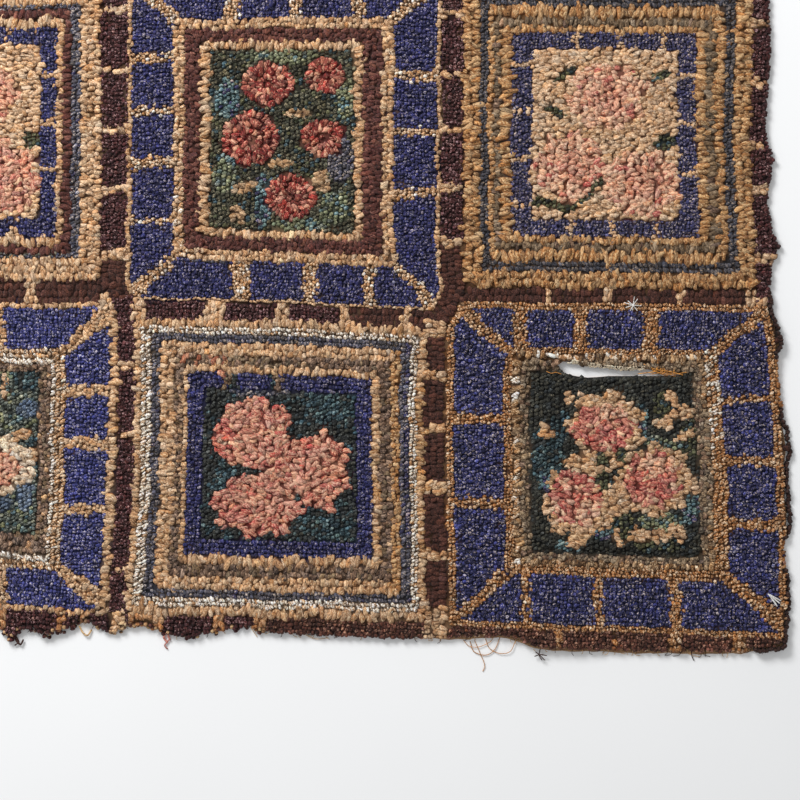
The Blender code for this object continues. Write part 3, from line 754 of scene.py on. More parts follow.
def sash_yarn(run, line, along):
    """The yarn along a sash: oblongs of brown, with camel or orange between them."""
    gap = "orange" if run == "level" and line == 0 else "camel_pale" if line == 1 else "camel"
    yarn = np.full(len(along), YARN_AT[gap])
    for row in OBLONGS:
        if (row.run, row.line) == (run, line):
            yarn[in_spans(along, row.spans)] = YARN_AT[row.yarn]
    return yarn


# How far apart a sash's rows and loops lie, how far from its line they reach, and the number that its loops
# have in place of their block's
SASH_PITCH = 3.9
SASH_REACH = 25
BRUSHED_PITCH = 4.8
SASH_NUMBER = 6


def lay_sashes():
    """The sashes: rows side by side along each sash line, wherever no block's rings lie."""
    for run, lines, reach in (("upright", 4, DEPTH / 2), ("level", 3, WIDTH / 2)):
        for line in range(lines):
            for offset in np.arange(-SASH_REACH, SASH_REACH + 1, SASH_PITCH):
                along = np.arange(-reach, reach, 6.0)
                if run == "upright":
                    path = np.stack((sash_x(line, along) + offset, along), axis=1)
                else:
                    path = np.stack((along, sash_y(line, along) + offset), axis=1)
                for wide in (False, True):
                    lay_sash_row(run, line, offset, path, wide)


def lay_sash_row(run, line, offset, path, wide):
    """One row of a sash: the small loops of heather and warm plush, or every other row the wide rest."""
    if wide and int(round((offset + SASH_REACH) / SASH_PITCH)) % 2:
        return
    x, y, heading, step, _ = spaced(path, BRUSHED_PITCH if wide else SASH_PITCH)
    ring, upright, column, row, away = frame_depth(x, y)
    yarn = sash_yarn(run, line, y if run == "upright" else x)
    small = np.isin(yarn, [YARN_AT["heather"], YARN_AT["plush_warm"]])
    if run == "upright":
        own = upright & (column + (away[1] < away[0]) == line)
    else:
        own = ~upright & (row + (away[3] < away[2]) == line)
    keep = (ring < 0) & own & (small != wide)
    across = SASH_PITCH * 2 if wide else SASH_PITCH
    gather(x[keep], y[keep], heading[keep], step, across, yarn[keep], SASH_NUMBER)


def mend(loops):
    """The yarn of each loop once the odd spots and the mixed yarns are worked in."""
    yarn = loops["yarn"].astype(int)
    for row in SPOTS:
        reach = np.hypot((loops["x"] - row.x) / row.half_width, (loops["y"] - row.y) / row.half_depth)
        here = (reach < 1 + rng.normal(0, 0.08, len(yarn))) & (rng.random(len(yarn)) < row.share)
        yarn[here & (yarn == YARN_AT[row.instead])] = YARN_AT[row.yarn]
    worked = yarn.copy()
    drift = 0.5 * waves(loops["x"], loops["y"], 10, 9, 40, 61)
    for row in MIXED:
        other = rng.random(len(yarn)) < row.share * (1 + drift)
        worked[other & (yarn == YARN_AT[row.yarn])] = YARN_AT[row.other]
    return worked


def all_loops():
    """Every loop on the rug's face, as a dictionary of arrays, clear of the edges and the tear."""
    for frame_row in FRAMES:
        lay_rings(frame_row)
        lay_panel(frame_row)
    lay_sashes()
    loops = {name: np.concatenate(gathered[name]) for name in COLUMNS}
    loops["yarn"] = mend(loops)
    loops["x"], loops["y"] = wander(loops["x"], loops["y"])
    from_slit = loops["y"] - read_off(SLIT, loops["x"])
    torn = (loops["x"] > SLIT[0][0]) & (loops["x"] < SLIT[-1][0]) & (np.abs(from_slit) < SLIT_REACH)
    clear = np.maximum(np.abs(from_slit), 0.60 * loops["across"] + SLIT_OPENS)
    loops["y"] = loops["y"] + np.where(torn, np.sign(from_slit) * clear - from_slit, 0.0)
    half = np.minimum(loops["across"], loops["along"]) / 2
    inset = 1.2 + HEM_SHOWS * hem_share(loops["x"], loops["y"])
    inset = inset + ROLL_SHOWS * roll_share(loops["x"], loops["y"])
    keep = (edge_distance(loops["x"], loops["y"]) > half + inset) & (
        tear_distance(loops["x"], loops["y"]) > half * rng.uniform(0.35, 1.1, len(half))
    )
    return {name: values[keep] for name, values in loops.items()}


def to_light(colour):
    """A colour as it looks, from 0 to 255, to the amounts of light that the shader takes."""
    share = np.asarray(colour, float) / 255
    return np.where(share <= 0.04045, share / 12.92, ((share + 0.055) / 1.055) ** 2.4)


def of_yarn(loops, column):
    """One column of the yarn table, for each loop."""
    return np.array([getattr(row, column) for row in YARNS.values()])[loops["yarn"].astype(int)]


def dye(loops):
    """Each loop's colour and that of its pale fibres: its yarn's, changed a little by patches and by loop."""
    count = len(loops["x"])
    patches = waves(loops["x"], loops["y"], 12, 14, 70, 51)
    tone = np.exp(of_yarn(loops, "spread") * rng.standard_normal(count) + of_yarn(loops, "patch") * patches)
    warmth = rng.normal(0, 0.05, count)
    tint = np.stack((1 + warmth, np.ones(count), 1 - 1.6 * warmth), axis=1) * tone[:, None]
    faded = np.clip(rng.normal(0.02, 0.26, count), 0, 0.8) * (of_yarn(loops, "work") == "strip")
    toward = faded[:, None]
    main = to_light(of_yarn(loops, "colour")) * (1 - toward) + to_light(of_yarn(loops, "light")) * toward
    wool = np.clip(main * tint, 0.003, 0.85)
    pale = np.clip(to_light(of_yarn(loops, "light")) * np.sqrt(tint), 0.01, 0.9)
    return wool, pale


NOISE_SPREAD = 0.11


def marl(loops):
    """Where the fibre noise turns pale, and where it turns dark, so that each takes its share of the loop."""
    middle = NormalDist(0.5, NOISE_SPREAD)
    pale_from = np.array([middle.inv_cdf(1 - row.pale) for row in YARNS.values()])
    dark_to = np.array([middle.inv_cdf(row.dark) for row in YARNS.values()])
    yarn = loops["yarn"].astype(int)
    uneven = rng.normal(0, 0.035, len(yarn))
    return np.stack((pale_from[yarn] + uneven, dark_to[yarn] + uneven, np.zeros(len(yarn))), axis=1)


# The shapes of the loops: rings from the skirt up, each a share of the half length along the row, of the half
# width across it, and of the height below the top. A strip's shoulder is a little broader than a yarn's.
STRIP_RINGS = ((1.04, 1.02, -1.0), (0.78, 0.86, -0.22))
YARN_RINGS = ((1.05, 1.05, -1.0), (0.76, 0.80, -0.22))
CREST = 0.55
LOOP_HEIGHT = 3.4
YARN_SLANT = 0.55


def domes(loops, rings, corners, square):
    """A low dome for each loop: rings of a squarish oval that shrink to a top point.

    The skirt is level. The ring above it rises towards the sides, so that the loop has a crest across it.

    Returns the vertices (loop, vertex, xyz) in mm, the triangles of one dome, the places along and across
    the strip, and how deep each vertex lies, from 0 at the skirt to 1 at the top.
    """
    count = len(loops["x"])
    angle = (np.arange(corners) + 0.5) * 2 * np.pi / corners
    oval = np.abs(np.cos(angle)) ** square * np.sign(np.cos(angle))
    oval_across = np.abs(np.sin(angle)) ** square * np.sign(np.sin(angle))
    along = np.concatenate([size * oval for size, _, _ in rings] + [[0.0]])
    across = np.concatenate([size * oval_across for _, size, _ in rings] + [[0.0]])
    crest = 1 - CREST * (1 - np.abs(np.cos(angle)))
    level = np.ones(corners)
    rise = np.concatenate([low * (crest if low > -1 else level) for _, _, low in rings] + [[0.0]])
    half_along = (loops["long"] / 2)[:, None]
    half_across = (loops["broad"] / 2)[:, None]
    height = (LOOP_HEIGHT * loops["fat"])[:, None]
    bend = loops["bend"][:, None]
    local_along = half_along * (along[None] + bend * (across[None] ** 2 - 0.4))
    local_across = half_across * across[None]
    turn = (loops["heading"] + loops["twist"])[:, None]
    lean_x, lean_y = loops["lean_x"][:, None], loops["lean_y"][:, None]
    x = loops["x"][:, None] + local_along * np.cos(turn) - local_across * np.sin(turn)
    y = loops["y"][:, None] + local_along * np.sin(turn) + local_across * np.cos(turn)
    x, y = x + lean_x * (1 + rise[None]), y + lean_y * (1 + rise[None])
    tilt = local_along * loops["tilt_along"][:, None] + local_across * loops["tilt_across"][:, None]
    z = loops["z"][:, None] + height * rise[None] + tilt * (1 + 0.8 * rise[None])
    vertices = np.stack((x, y, z), axis=2)
    uneven = rng.normal(0, 1, vertices.shape) * np.array((0.30, 0.30, 0.26))
    vertices = vertices + uneven * loops["rough"][:, None, None]
    strand = np.stack((local_along, local_across, np.broadcast_to(height * rise, local_along.shape)), axis=2)
    depth = np.broadcast_to(1 + rise, (count, len(rise)))
    return vertices, dome_faces(len(rings), corners), strand, depth


def dome_faces(rings, corners):
    """The triangles of one dome: two for each side between rings, and one for each side under the top."""
    faces = []
    for ring in range(rings - 1):
        for side in range(corners):
            a, b = ring * corners + side, ring * corners + (side + 1) % corners
            faces += [(a, b, b + corners), (a, b + corners, a + corners)]
    top = rings * corners
    last = top - corners
    faces += [(last + side, last + (side + 1) % corners, top) for side in range(corners)]
    return np.array(faces)


def shape_loops(loops):
    """Gives each loop its height, size, lean, twist and tilt, all a little uneven."""
    count = len(loops["x"])
    stands = of_yarn(loops, "stands")
    brushed = of_yarn(loops, "work") == "plush"
    strips = of_yarn(loops, "work") == "strip"
    calm = np.where(brushed, 0.45, 1.0)
    uneven = rng.normal(0, 0.42, count) * np.where(strips, 1.1, calm)
    loops["z"] = surface_height(loops["x"], loops["y"]) + stands + uneven
    aside = loops["across"] * rng.normal(0, 1, count) * np.where(strips, 0.15, 0.03)
    loops["x"] = loops["x"] + rng.normal(0, 0.36, count) - aside * np.sin(loops["heading"])
    loops["y"] = loops["y"] + rng.normal(0, 0.36, count) + aside * np.cos(loops["heading"])
    size = np.exp(rng.normal(0, 0.09, count))
    stretch = np.where(strips, np.exp(rng.normal(0, 0.15, count)), 1.0)
    loops["long"] = loops["along"] * np.where(brushed, 1.40, np.where(strips, 1.50, 1.24)) * size
    loops["broad"] = loops["across"] * np.where(brushed, 1.40, np.where(strips, 1.34, 1.24)) * size * stretch
    loops["fat"] = np.where(brushed, 0.8, 1.0) * np.exp(rng.normal(0, 0.08, count))
    loops["rough"] = np.where(strips, 1.30, np.where(brushed, 0.9, 1.0))
    wide = of_yarn(loops, "across") > BROAD_STRIP
    loops["bend"] = rng.normal(0, 0.55, count) * np.where(strips, 1.0, 0.3)
    slanted = of_yarn(loops, "work") == "yarn"
    turned = rng.normal(0, 0.30, count) * np.where(wide, 1.5, 1.0)
    loops["twist"] = np.where(slanted, YARN_SLANT, 0.0) + turned
    loops["broad"] = loops["broad"] * np.where(slanted, 1.10, 1.0)
    loops["lean_x"], loops["lean_y"] = rng.normal(0, 0.45, (2, count))
    loops["tilt_along"], loops["tilt_across"] = rng.normal(0, 0.24, (2, count)) * calm
    loops["seed"] = rng.random(count)
    loops["wool"], loops["pale"] = dye(loops)
    loops["marl"] = marl(loops)
    return loops


def tidy_material(name):
    material = bpy.data.materials.new(name)
    material.use_nodes = True
    return material, material.node_tree.nodes, material.node_tree.links


def set_shader(nodes, roughness, sheen, specular=0.25):
    shader = nodes["Principled BSDF"]
    shader.inputs["Roughness"].default_value = roughness
    shader.inputs["Sheen Weight"].default_value = sheen
    shader.inputs["Sheen Roughness"].default_value = 0.5
    shader.inputs["Specular IOR Level"].default_value = specular
    return shader


def noise(nodes, links, vector, scale, detail, roughness=0.6):
    node = nodes.new("ShaderNodeTexNoise")
    node.inputs["Scale"].default_value = scale
    node.inputs["Detail"].default_value = detail
    node.inputs["Roughness"].default_value = roughness
    links.new(vector, node.inputs["Vector"])
    return node.outputs["Fac"]


def mapped(nodes, links, vector, scale):
    node = nodes.new("ShaderNodeMapping")
    node.inputs["Scale"].default_value = scale
    links.new(vector, node.inputs["Vector"])
    return node.outputs["Vector"]


def ramp(nodes, links, value, low, high, bottom=0.0, top=1.0):
    """Stretches the range low to high over bottom to top, and stops there."""
    node = nodes.new("ShaderNodeMapRange")
    node.inputs["From Min"].default_value = low
    node.inputs["From Max"].default_value = high
    node.inputs["To Min"].default_value = bottom
    node.inputs["To Max"].default_value = top
    links.new(value, node.inputs["Value"])
    return node.outputs["Result"]


def math(nodes, links, operation, first, second):
    node = nodes.new("ShaderNodeMath")
    node.operation = operation
    for socket, value in zip(node.inputs, (first, second)):
        if isinstance(value, (int, float)):
            socket.default_value = value
        else:
            links.new(value, socket)
    return node.outputs["Value"]


def mix(nodes, links, blend, factor, first, second):
    """Mixes two colours, each a socket or an amount of light in red, green and blue."""
    node = nodes.new("ShaderNodeMix")
    node.data_type = "RGBA"
    node.blend_type = blend
    for name, value in (("Factor_Float", factor), ("A_Color", first), ("B_Color", second)):
        socket = next(item for item in node.inputs if item.identifier == name)
        if isinstance(value, (int, float)):
            socket.default_value = value
        elif isinstance(value, (tuple, list)):
            socket.default_value = (*value, 1.0)
        else:
            links.new(value, socket)
    return next(item for item in node.outputs if item.identifier == "Result_Color")


def attribute(nodes, name, output):
    node = nodes.new("ShaderNodeAttribute")
    node.attribute_name = name
    return node.outputs[output]


def raise_bump(nodes, links, shader, height, distance, strength=1.0):
    node = nodes.new("ShaderNodeBump")
    node.inputs["Distance"].default_value = distance
    node.inputs["Strength"].default_value = strength
    links.new(height, node.inputs["Height"])
    links.new(node.outputs["Normal"], shader.inputs["Normal"])


def grey_of(nodes, links, value):
    node = nodes.new("ShaderNodeCombineColor")
    for socket in node.inputs[:3]:
        links.new(value, socket)
    return node.outputs["Color"]


# The length, width and thickness in mm of the patches whose edges are a strip's creases
FOLD_SIZE = (2.6, 8.0, 4.0)


def stretched(nodes, links, vector, size, turned):
    """A place in mm turned by an angle and counted in patches of the given length, width and thickness."""
    node = nodes.new("ShaderNodeMapping")
    node.vector_type = "TEXTURE"
    node.inputs["Rotation"].default_value = (0.0, 0.0, turned)
    node.inputs["Scale"].default_value = size
    links.new(vector, node.inputs["Vector"])
    return node.outputs["Vector"]


def wool_material(name, twist, fibre_size, crevice_shade, bump, sheen, creased=0.0):
    """Wool that takes its colours from the loop: plies of pale and dark fibre, and painted shade in the
    crevices round it.

    The strand attribute is the place along and across the loop in mm, shifted for each loop, so no two
    loops have the same fibres. The marl attribute says from where the fibre noise is pale, and up to where
    it is dark. The depth attribute runs from 0 at the loop's skirt to 1 at its top. The fibre size is the
    length, width and thickness in mm of a tuft of fibres, and the twist is the angle they lie at. The
    crevice shade is the tint of the painted shade on the wool low down, and creased is how strongly thin
    folds cross the top, pressed into the bump and darkened with the same painted shade.
    """
    material, nodes, links = tidy_material(name)
    shader = set_shader(nodes, 0.92, sheen)
    strand = attribute(nodes, "strand", "Vector")
    fibres = noise(nodes, links, stretched(nodes, links, strand, fibre_size, twist), 1.0, 2.0, 0.55)
    folds = noise(nodes, links, stretched(nodes, links, strand, FOLD_SIZE, 0.3), 1.0, 1.0, 0.5)
    off_fold = math(nodes, links, "ABSOLUTE", math(nodes, links, "SUBTRACT", folds, 0.5), 0.0)
    # crease lines across a strip's top: sunk into the bump, and darkened as painted shade through the crevice
    # tint
    crease = ramp(nodes, links, off_fold, 0.0, 0.035, creased, 0.0)
    fuzz = noise(nodes, links, strand, 2.6, 3.0, 0.7)
    wool = attribute(nodes, "wool", "Color")
    pale = attribute(nodes, "pale", "Color")
    limits = nodes.new("ShaderNodeSeparateXYZ")
    links.new(attribute(nodes, "marl", "Vector"), limits.inputs["Vector"])
    depth = attribute(nodes, "depth", "Fac")
    # more pale fibres at the loop's top and fewer low down: partly wear of the tops, partly painted shade low
    # in the loop
    wear_and_painted_shade = ramp(nodes, links, depth, 0.4, 1.0, -0.12, 0.03)
    above = math(nodes, links, "ADD", math(nodes, links, "SUBTRACT", fibres, limits.outputs["X"]), wear_and_painted_shade)
    below = math(nodes, links, "SUBTRACT", limits.outputs["Y"], fibres)
    dark = mix(nodes, links, "MULTIPLY", 1.0, wool, (0.18, 0.17, 0.19))
    colour = mix(nodes, links, "MIX", ramp(nodes, links, above, -0.02, 0.05), wool, pale)
    colour = mix(nodes, links, "MIX", ramp(nodes, links, below, -0.02, 0.05), colour, dark)
    # painted shade: the wool multiplied by the crevice tint, for the shade low in the loop and along its
    # creases
    painted_shade_colour = mix(nodes, links, "MULTIPLY", 1.0, wool, crevice_shade)
    # how much painted shade: full at the loop's skirt, none from near its top, and along the crease lines
    painted_shade_share = math(nodes, links, "MAXIMUM", ramp(nodes, links, depth, 0.25, 0.76, 1.0, 0.0), crease)
    colour = mix(nodes, links, "MIX", painted_shade_share, colour, painted_shade_colour)
    tone = ramp(nodes, links, fuzz, 0.3, 0.7, 0.84, 1.14)
    colour = mix(nodes, links, "MULTIPLY", 1.0, colour, grey_of(nodes, links, tone))
    links.new(colour, shader.inputs["Base Color"])
    height = math(nodes, links, "ADD", fibres, math(nodes, links, "MULTIPLY", fuzz, 0.6))
    height = math(nodes, links, "SUBTRACT", height, math(nodes, links, "MULTIPLY", crease, 0.9))
    raise_bump(nodes, links, shader, height, bump)
    return material


def make_mesh(
    name, vertices, faces, material_index=None, materials=(), attributes=(), smooth=True, bake=None,
):
    """A mesh object from arrays: vertices in mm, faces, and attributes on its points.

    The places are turned into metres and moved as the solids were when they were centred.
    """
    places = np.array(vertices, float)
    places[:, :2] += CENTRED
    mesh = bpy.data.meshes.new(name)
    mesh.vertices.add(len(places))
    mesh.vertices.foreach_set("co", (places * MM).astype(np.float32).ravel())
    corners = faces.shape[1]
    mesh.loops.add(faces.size)
    mesh.loops.foreach_set("vertex_index", faces.astype(np.int32).ravel())
    mesh.polygons.add(len(faces))
    mesh.polygons.foreach_set("loop_start", np.arange(0, faces.size, corners, dtype=np.int32))
    mesh.polygons.foreach_set("use_smooth", np.array(np.broadcast_to(smooth, len(faces))))
    if material_index is not None:
        mesh.polygons.foreach_set("material_index", material_index.astype(np.int32))
    for material in materials:
        mesh.materials.append(material)
    for label, kind, values in attributes:
        layer = mesh.attributes.new(label, kind, "POINT")
        if kind == "FLOAT_COLOR":
            values = np.concatenate((values, np.ones((len(values), 1))), axis=1)
            layer.data.foreach_set("color", values.astype(np.float32).ravel())
        elif kind == "FLOAT_VECTOR":
            layer.data.foreach_set("vector", values.astype(np.float32).ravel())
        else:
            layer.data.foreach_set("value", values.astype(np.float32).ravel())
    bake = planar_map(places) if bake is None else bake
    uv = mesh.uv_layers.new(name="OFBake")
    uv.data.foreach_set("uv", bake[faces.ravel()].astype(np.float32).ravel())
    mesh.update()
    mesh.validate()
    thing = bpy.data.objects.new(name, mesh)
    bpy.context.scene.collection.objects.link(thing)
    return thing


def planar_map(places):
    """The piece seen from above, fitted into the unit square with a small margin."""
    low, high = places[:, :2].min(axis=0), places[:, :2].max(axis=0)
    return 0.01 + 0.98 * (places[:, :2] - low) / (high - low).max()


def declare(piece, slot, *replaced):
    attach(piece, "root")
    if replaced:
        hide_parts(*replaced)
    return piece


# How each kind of loop is built: its rings, the number of its sides, and the power that squares its oval. Then
# how low a loop may reach, and how far apart the loops lie in the fibre noise.
Work = namedtuple("Work", "name rings corners square")
WORKS = [
    Work("strip", STRIP_RINGS, 8, 0.70), Work("yarn", YARN_RINGS, 6, 0.9), Work("plush", YARN_RINGS, 6, 0.8),
]
LEAST_HEIGHT = 0.2
SEED_SPREAD = 997.0


def apart(seeds):
    """A shift of each loop's place in the fibre noise, so that no two loops have the same fibres."""
    return np.stack((seeds, seeds * 0.37, seeds * 0.61), axis=2)


def loop_piece(name, loops, materials):
    """All the loops of one region as a single mesh: strips have 8 sides, and yarn and brushed loops 6."""
    works = of_yarn(loops, "work")
    vertices, faces, index, strand, depth = [], [], [], [], []
    shared = {"wool": [], "pale": [], "marl": []}
    start = 0
    for place, (work, rings, corners, square) in enumerate(WORKS):
        chosen = works == work
        if not chosen.any():
            continue
        part = {key: values[chosen] for key, values in loops.items()}
        points, dome, local, deep = domes(part, rings, corners, square)
        points[..., 2] = np.maximum(points[..., 2], LEAST_HEIGHT)
        count, each = points.shape[:2]
        local = local + apart((part["seed"] * SEED_SPREAD)[:, None])
        vertices.append(points.reshape(-1, 3))
        strand.append(local.reshape(-1, 3))
        depth.append(deep.ravel())
        for key, values in shared.items():
            values.append(np.repeat(part[key], each, axis=0))
        faces.append((dome[None] + (start + np.arange(count) * each)[:, None, None]).reshape(-1, 3))
        index.append(np.full(count * len(dome), place))
        start += count * each
    attributes = [
        ("wool", "FLOAT_COLOR", np.concatenate(shared["wool"])),
        ("pale", "FLOAT_COLOR", np.concatenate(shared["pale"])),
        ("marl", "FLOAT_VECTOR", np.concatenate(shared["marl"])),
        ("strand", "FLOAT_VECTOR", np.concatenate(strand)),
        ("depth", "FLOAT", np.concatenate(depth)),
    ]
    index = np.concatenate(index)
    piece = make_mesh(
        name, np.concatenate(vertices), np.concatenate(faces), index, materials, attributes,
    )
    return declare(piece, "loops", "loop_pile")


class ColourField:
    """The loops' average colour on a 4 mm grid, for what lies under them and at the rims."""

    STEP = 4.0

    def __init__(self, loops):
        self.shape = (int(WIDTH / self.STEP) + 8, int(DEPTH / self.STEP) + 8)
        cells = self.cell(loops["x"], loops["y"])
        total = np.zeros(self.shape + (3,))
        count = np.zeros(self.shape)
        np.add.at(total, cells, loops["wool"])
        np.add.at(count, cells, 1)
        for _ in range(6):
            empty = count == 0
            spread = sum(np.roll(total, move, (0, 1)) for move in ((1, 0), (-1, 0), (0, 1), (0, -1)))
            number = sum(np.roll(count, move, (0, 1)) for move in ((1, 0), (-1, 0), (0, 1), (0, -1)))
            total[empty] = spread[empty]
            count[empty] = number[empty]
        self.light = total / np.maximum(count, 1)[..., None]

    def cell(self, x, y):
        across = np.clip(((x + WIDTH / 2) / self.STEP + 4).astype(int), 0, self.shape[0] - 1)
        deep = np.clip(((y + DEPTH / 2) / self.STEP + 4).astype(int), 0, self.shape[1] - 1)
        return across, deep

    def at(self, x, y):
        return self.light[self.cell(x, y)]


def seam_y(x, side):
    """The line that parts the front half from the back half: along the tear, its front or its back side."""
    torn = (x >= TEAR_LEFT) & (x <= TEAR_RIGHT)
    back, front = read_off(TEAR, x, 1), read_off(TEAR, x, 2)
    return np.where(torn, back if side == "back" else front, (back + front) / 2)


def sheet_grid(half, step, inset):
    """Points over one half of the rug, from its outer edge to the seam line, with columns at the tear's ends.

    A point lies a share of the way from the left edge to the right, and a share from the front of its
    half to its back; both are worked out a few times over, because each edge bends with the other.
    """
    level = -70.0
    low, high = left_x(level), right_x(level)
    tear_shares = [(along - low) / (high - low) for along, _, _ in TEAR]
    tear_shares += [tear_shares[0] - 1e-4, tear_shares[-1] + 1e-4]
    across = np.union1d(np.linspace(0, 1, int(WIDTH / step)), tear_shares)
    deep = np.linspace(0, 1, int(DEPTH / step / 2))
    share_x, share_y = np.meshgrid(across, deep, indexing="ij")
    x = low + (high - low) * share_x
    y = np.zeros_like(x)
    for _ in range(5):
        corner = rounded(np.minimum(x - left_x(y), right_x(y) - x))
        if half == "front":
            start = front_y(x) + inset(x, -DEPTH / 2) + corner
            y = start + (seam_y(x, "front") - start) * share_y
        else:
            end = back_y(x) - inset(x, DEPTH / 2) - corner
            y = seam_y(x, "back") + (end - seam_y(x, "back")) * share_y
        side_inset = inset(0 * x, 0 * x)
        x = left_x(y) + side_inset + (right_x(y) - left_x(y) - 2 * side_inset) * share_x
    return x, y


def closed_halves(step, inset, low_height, high_height):
    """Both halves as quads, with the points of an upper and of a lower sheet, for close_sheet to join.

    Outside the tear the two halves share their seam points; at the tear each has a wall of its own.
    """
    grids = [sheet_grid(half, step, inset) for half in ("front", "back")]
    tops, undersides, shapes = [], [], []
    for x, y in grids:
        tops.append(np.stack((x, y, high_height(x, y)), axis=2).reshape(-1, 3))
        undersides.append(np.stack((x, y, low_height(x, y)), axis=2).reshape(-1, 3))
        shapes.append(x.shape)
    upper = np.concatenate(tops)
    lower = np.concatenate(undersides)
    places = np.arange(len(upper))
    first = places[: shapes[0][0] * shapes[0][1]].reshape(shapes[0])
    second = places[shapes[0][0] * shapes[0][1]:].reshape(shapes[1])
    meet = np.hypot(*(upper[first[:, -1], :2] - upper[second[:, 0], :2]).T) < 0.2
    upper[second[meet, 0]] = upper[first[meet, -1]]
    lower[second[meet, 0]] = lower[first[meet, -1]]
    same = places.copy()
    same[second[meet, 0]] = first[meet, -1]
    quads = np.concatenate([
        np.stack((grid[:-1, :-1], grid[1:, :-1], grid[1:, 1:], grid[:-1, 1:]), axis=-1).reshape(-1, 4)
        for grid in (first, second)
    ])
    quads = same[quads]
    return upper, lower, quads


def close_sheet(upper, lower, quads):
    """Walls along every edge that only one quad has, then the lower sheet turned over."""
    edges = np.concatenate([quads[:, [i, (i + 1) % 4]] for i in range(4)])
    keys = edges.min(axis=1) * len(upper) + edges.max(axis=1)
    _, back, count = np.unique(keys, return_inverse=True, return_counts=True)
    rim = edges[count[back] == 1]
    rim = rim[rim[:, 0] != rim[:, 1]]
    below = len(upper)
    walls = np.stack((rim[:, 1], rim[:, 0], rim[:, 0] + below, rim[:, 1] + below), axis=1)
    faces = np.concatenate((quads, quads[:, ::-1] + below, walls))
    vertices = np.concatenate((upper, lower))
    used, again = np.unique(faces, return_inverse=True)
    return vertices[used], again.reshape(faces.shape)


def bed_material():
    """The matted wool between the loops: the loops' own colours, much darker as painted shade, with a rough
    fibrous relief.
    """
    material, nodes, links = tidy_material("matted wool")
    shader = set_shader(nodes, 0.95, 0.1)
    place = nodes.new("ShaderNodeTexCoord").outputs["Object"]
    fuzz = noise(nodes, links, place, 900.0, 4.0, 0.7)
    wool = attribute(nodes, "wool", "Color")
    # painted shade: the wool between the loops is drawn at 14 to 42 percent of the loops' colour
    tone = ramp(nodes, links, fuzz, 0.3, 0.7, 0.14, 0.42)
    painted_shade_wool = mix(nodes, links, "MULTIPLY", 1.0, wool, grey_of(nodes, links, tone))
    links.new(painted_shade_wool, shader.inputs["Base Color"])
    raise_bump(nodes, links, shader, fuzz, 0.0006)
    return material


BURLAP_PITCH = 2.2
BURLAP_COLOURS = ((156, 118, 84), (212, 174, 134), (190, 160, 130))


def burlap_material():
    """Coarse plain weave: two sets of threads over and under each other, with darker and paler threads, and
    painted shade where the weave lies low.
    """
    material, nodes, links = tidy_material("burlap")
    shader = set_shader(nodes, 0.85, 0.1)
    place = nodes.new("ShaderNodeTexCoord").outputs["Object"]
    parts = nodes.new("ShaderNodeSeparateXYZ")
    links.new(place, parts.inputs["Vector"])
    turns = 2 * np.pi / (BURLAP_PITCH * MM)
    warp = math(nodes, links, "SINE", math(nodes, links, "MULTIPLY", parts.outputs["X"], turns), 0.0)
    weft = math(nodes, links, "SINE", math(nodes, links, "MULTIPLY", parts.outputs["Y"], turns), 0.0)
    crossing = math(nodes, links, "MULTIPLY", warp, weft)
    weave = math(nodes, links, "ADD", crossing, math(nodes, links, "MAXIMUM", warp, weft))
    slubs = noise(nodes, links, mapped(nodes, links, place, (60.0, 700.0, 700.0)), 1.0, 3.0)
    patches = noise(nodes, links, place, 25.0, 3.0)
    darker, paler, stain = (tuple(to_light(colour)) for colour in BURLAP_COLOURS)
    tone = mix(nodes, links, "MIX", ramp(nodes, links, slubs, 0.3, 0.7), darker, paler)
    stained = ramp(nodes, links, patches, 0.3, 0.7, 0.0, 0.5)
    tone = mix(nodes, links, "MULTIPLY", stained, tone, stain)
    # painted shade: the cloth darker where the weave lies low between crossing threads
    dark = ramp(nodes, links, weave, -1.0, 0.6, 0.45, 1.0)
    weave_in_shade = mix(nodes, links, "MULTIPLY", 1.0, tone, grey_of(nodes, links, dark))
    links.new(weave_in_shade, shader.inputs["Base Color"])
    raise_bump(nodes, links, shader, weave, 0.0005)
    return material


# The mat and the burlap: how far apart their points are, and how far they are drawn in from the rug's outline
BED_STEP, BED_INSET, BED_DROP = 11.0, 3.4, 2.3
BURLAP_STEP, BURLAP_INSET = 9.0, 1.6


def make_bed(colours):
    """The mat of wool that the loops stand in, a little below their tops and drawn in at the rims, in the
    loops' colours under painted shade.
    """
    upper, lower, quads = closed_halves(
        BED_STEP, lambda x, y: BED_INSET + HEM_SHOWS * hem_share(x, y),
        lambda x, y: FOUNDATION_THICKNESS + GAP + lift(x, y),
        lambda x, y: surface_height(x, y) - BED_DROP,
    )
    vertices, faces = close_sheet(upper, lower, quads)
    light = colours.at(vertices[:, 0], vertices[:, 1])
    piece = make_mesh(
        "pile_bed", vertices, faces, materials=[bed_material()], attributes=[("wool", "FLOAT_COLOR", light)],
    )
    return declare(piece, "loops", "loop_pile")


def make_burlap():
    """The foundation cloth: one flat sheet of burlap under the loops, out to the rug's outline."""
    upper, lower, quads = closed_halves(
        BURLAP_STEP, lambda x, y: BURLAP_INSET * (1 - hem_share(x, y)),
        lambda x, y: lift(x, y),
        lambda x, y: FOUNDATION_THICKNESS + lift(x, y),
    )
    vertices, faces = close_sheet(upper, lower, quads)
    piece = make_mesh("burlap", vertices, faces, materials=[burlap_material()], smooth=False)
    return declare(piece, "foundation", "foundation_cloth")


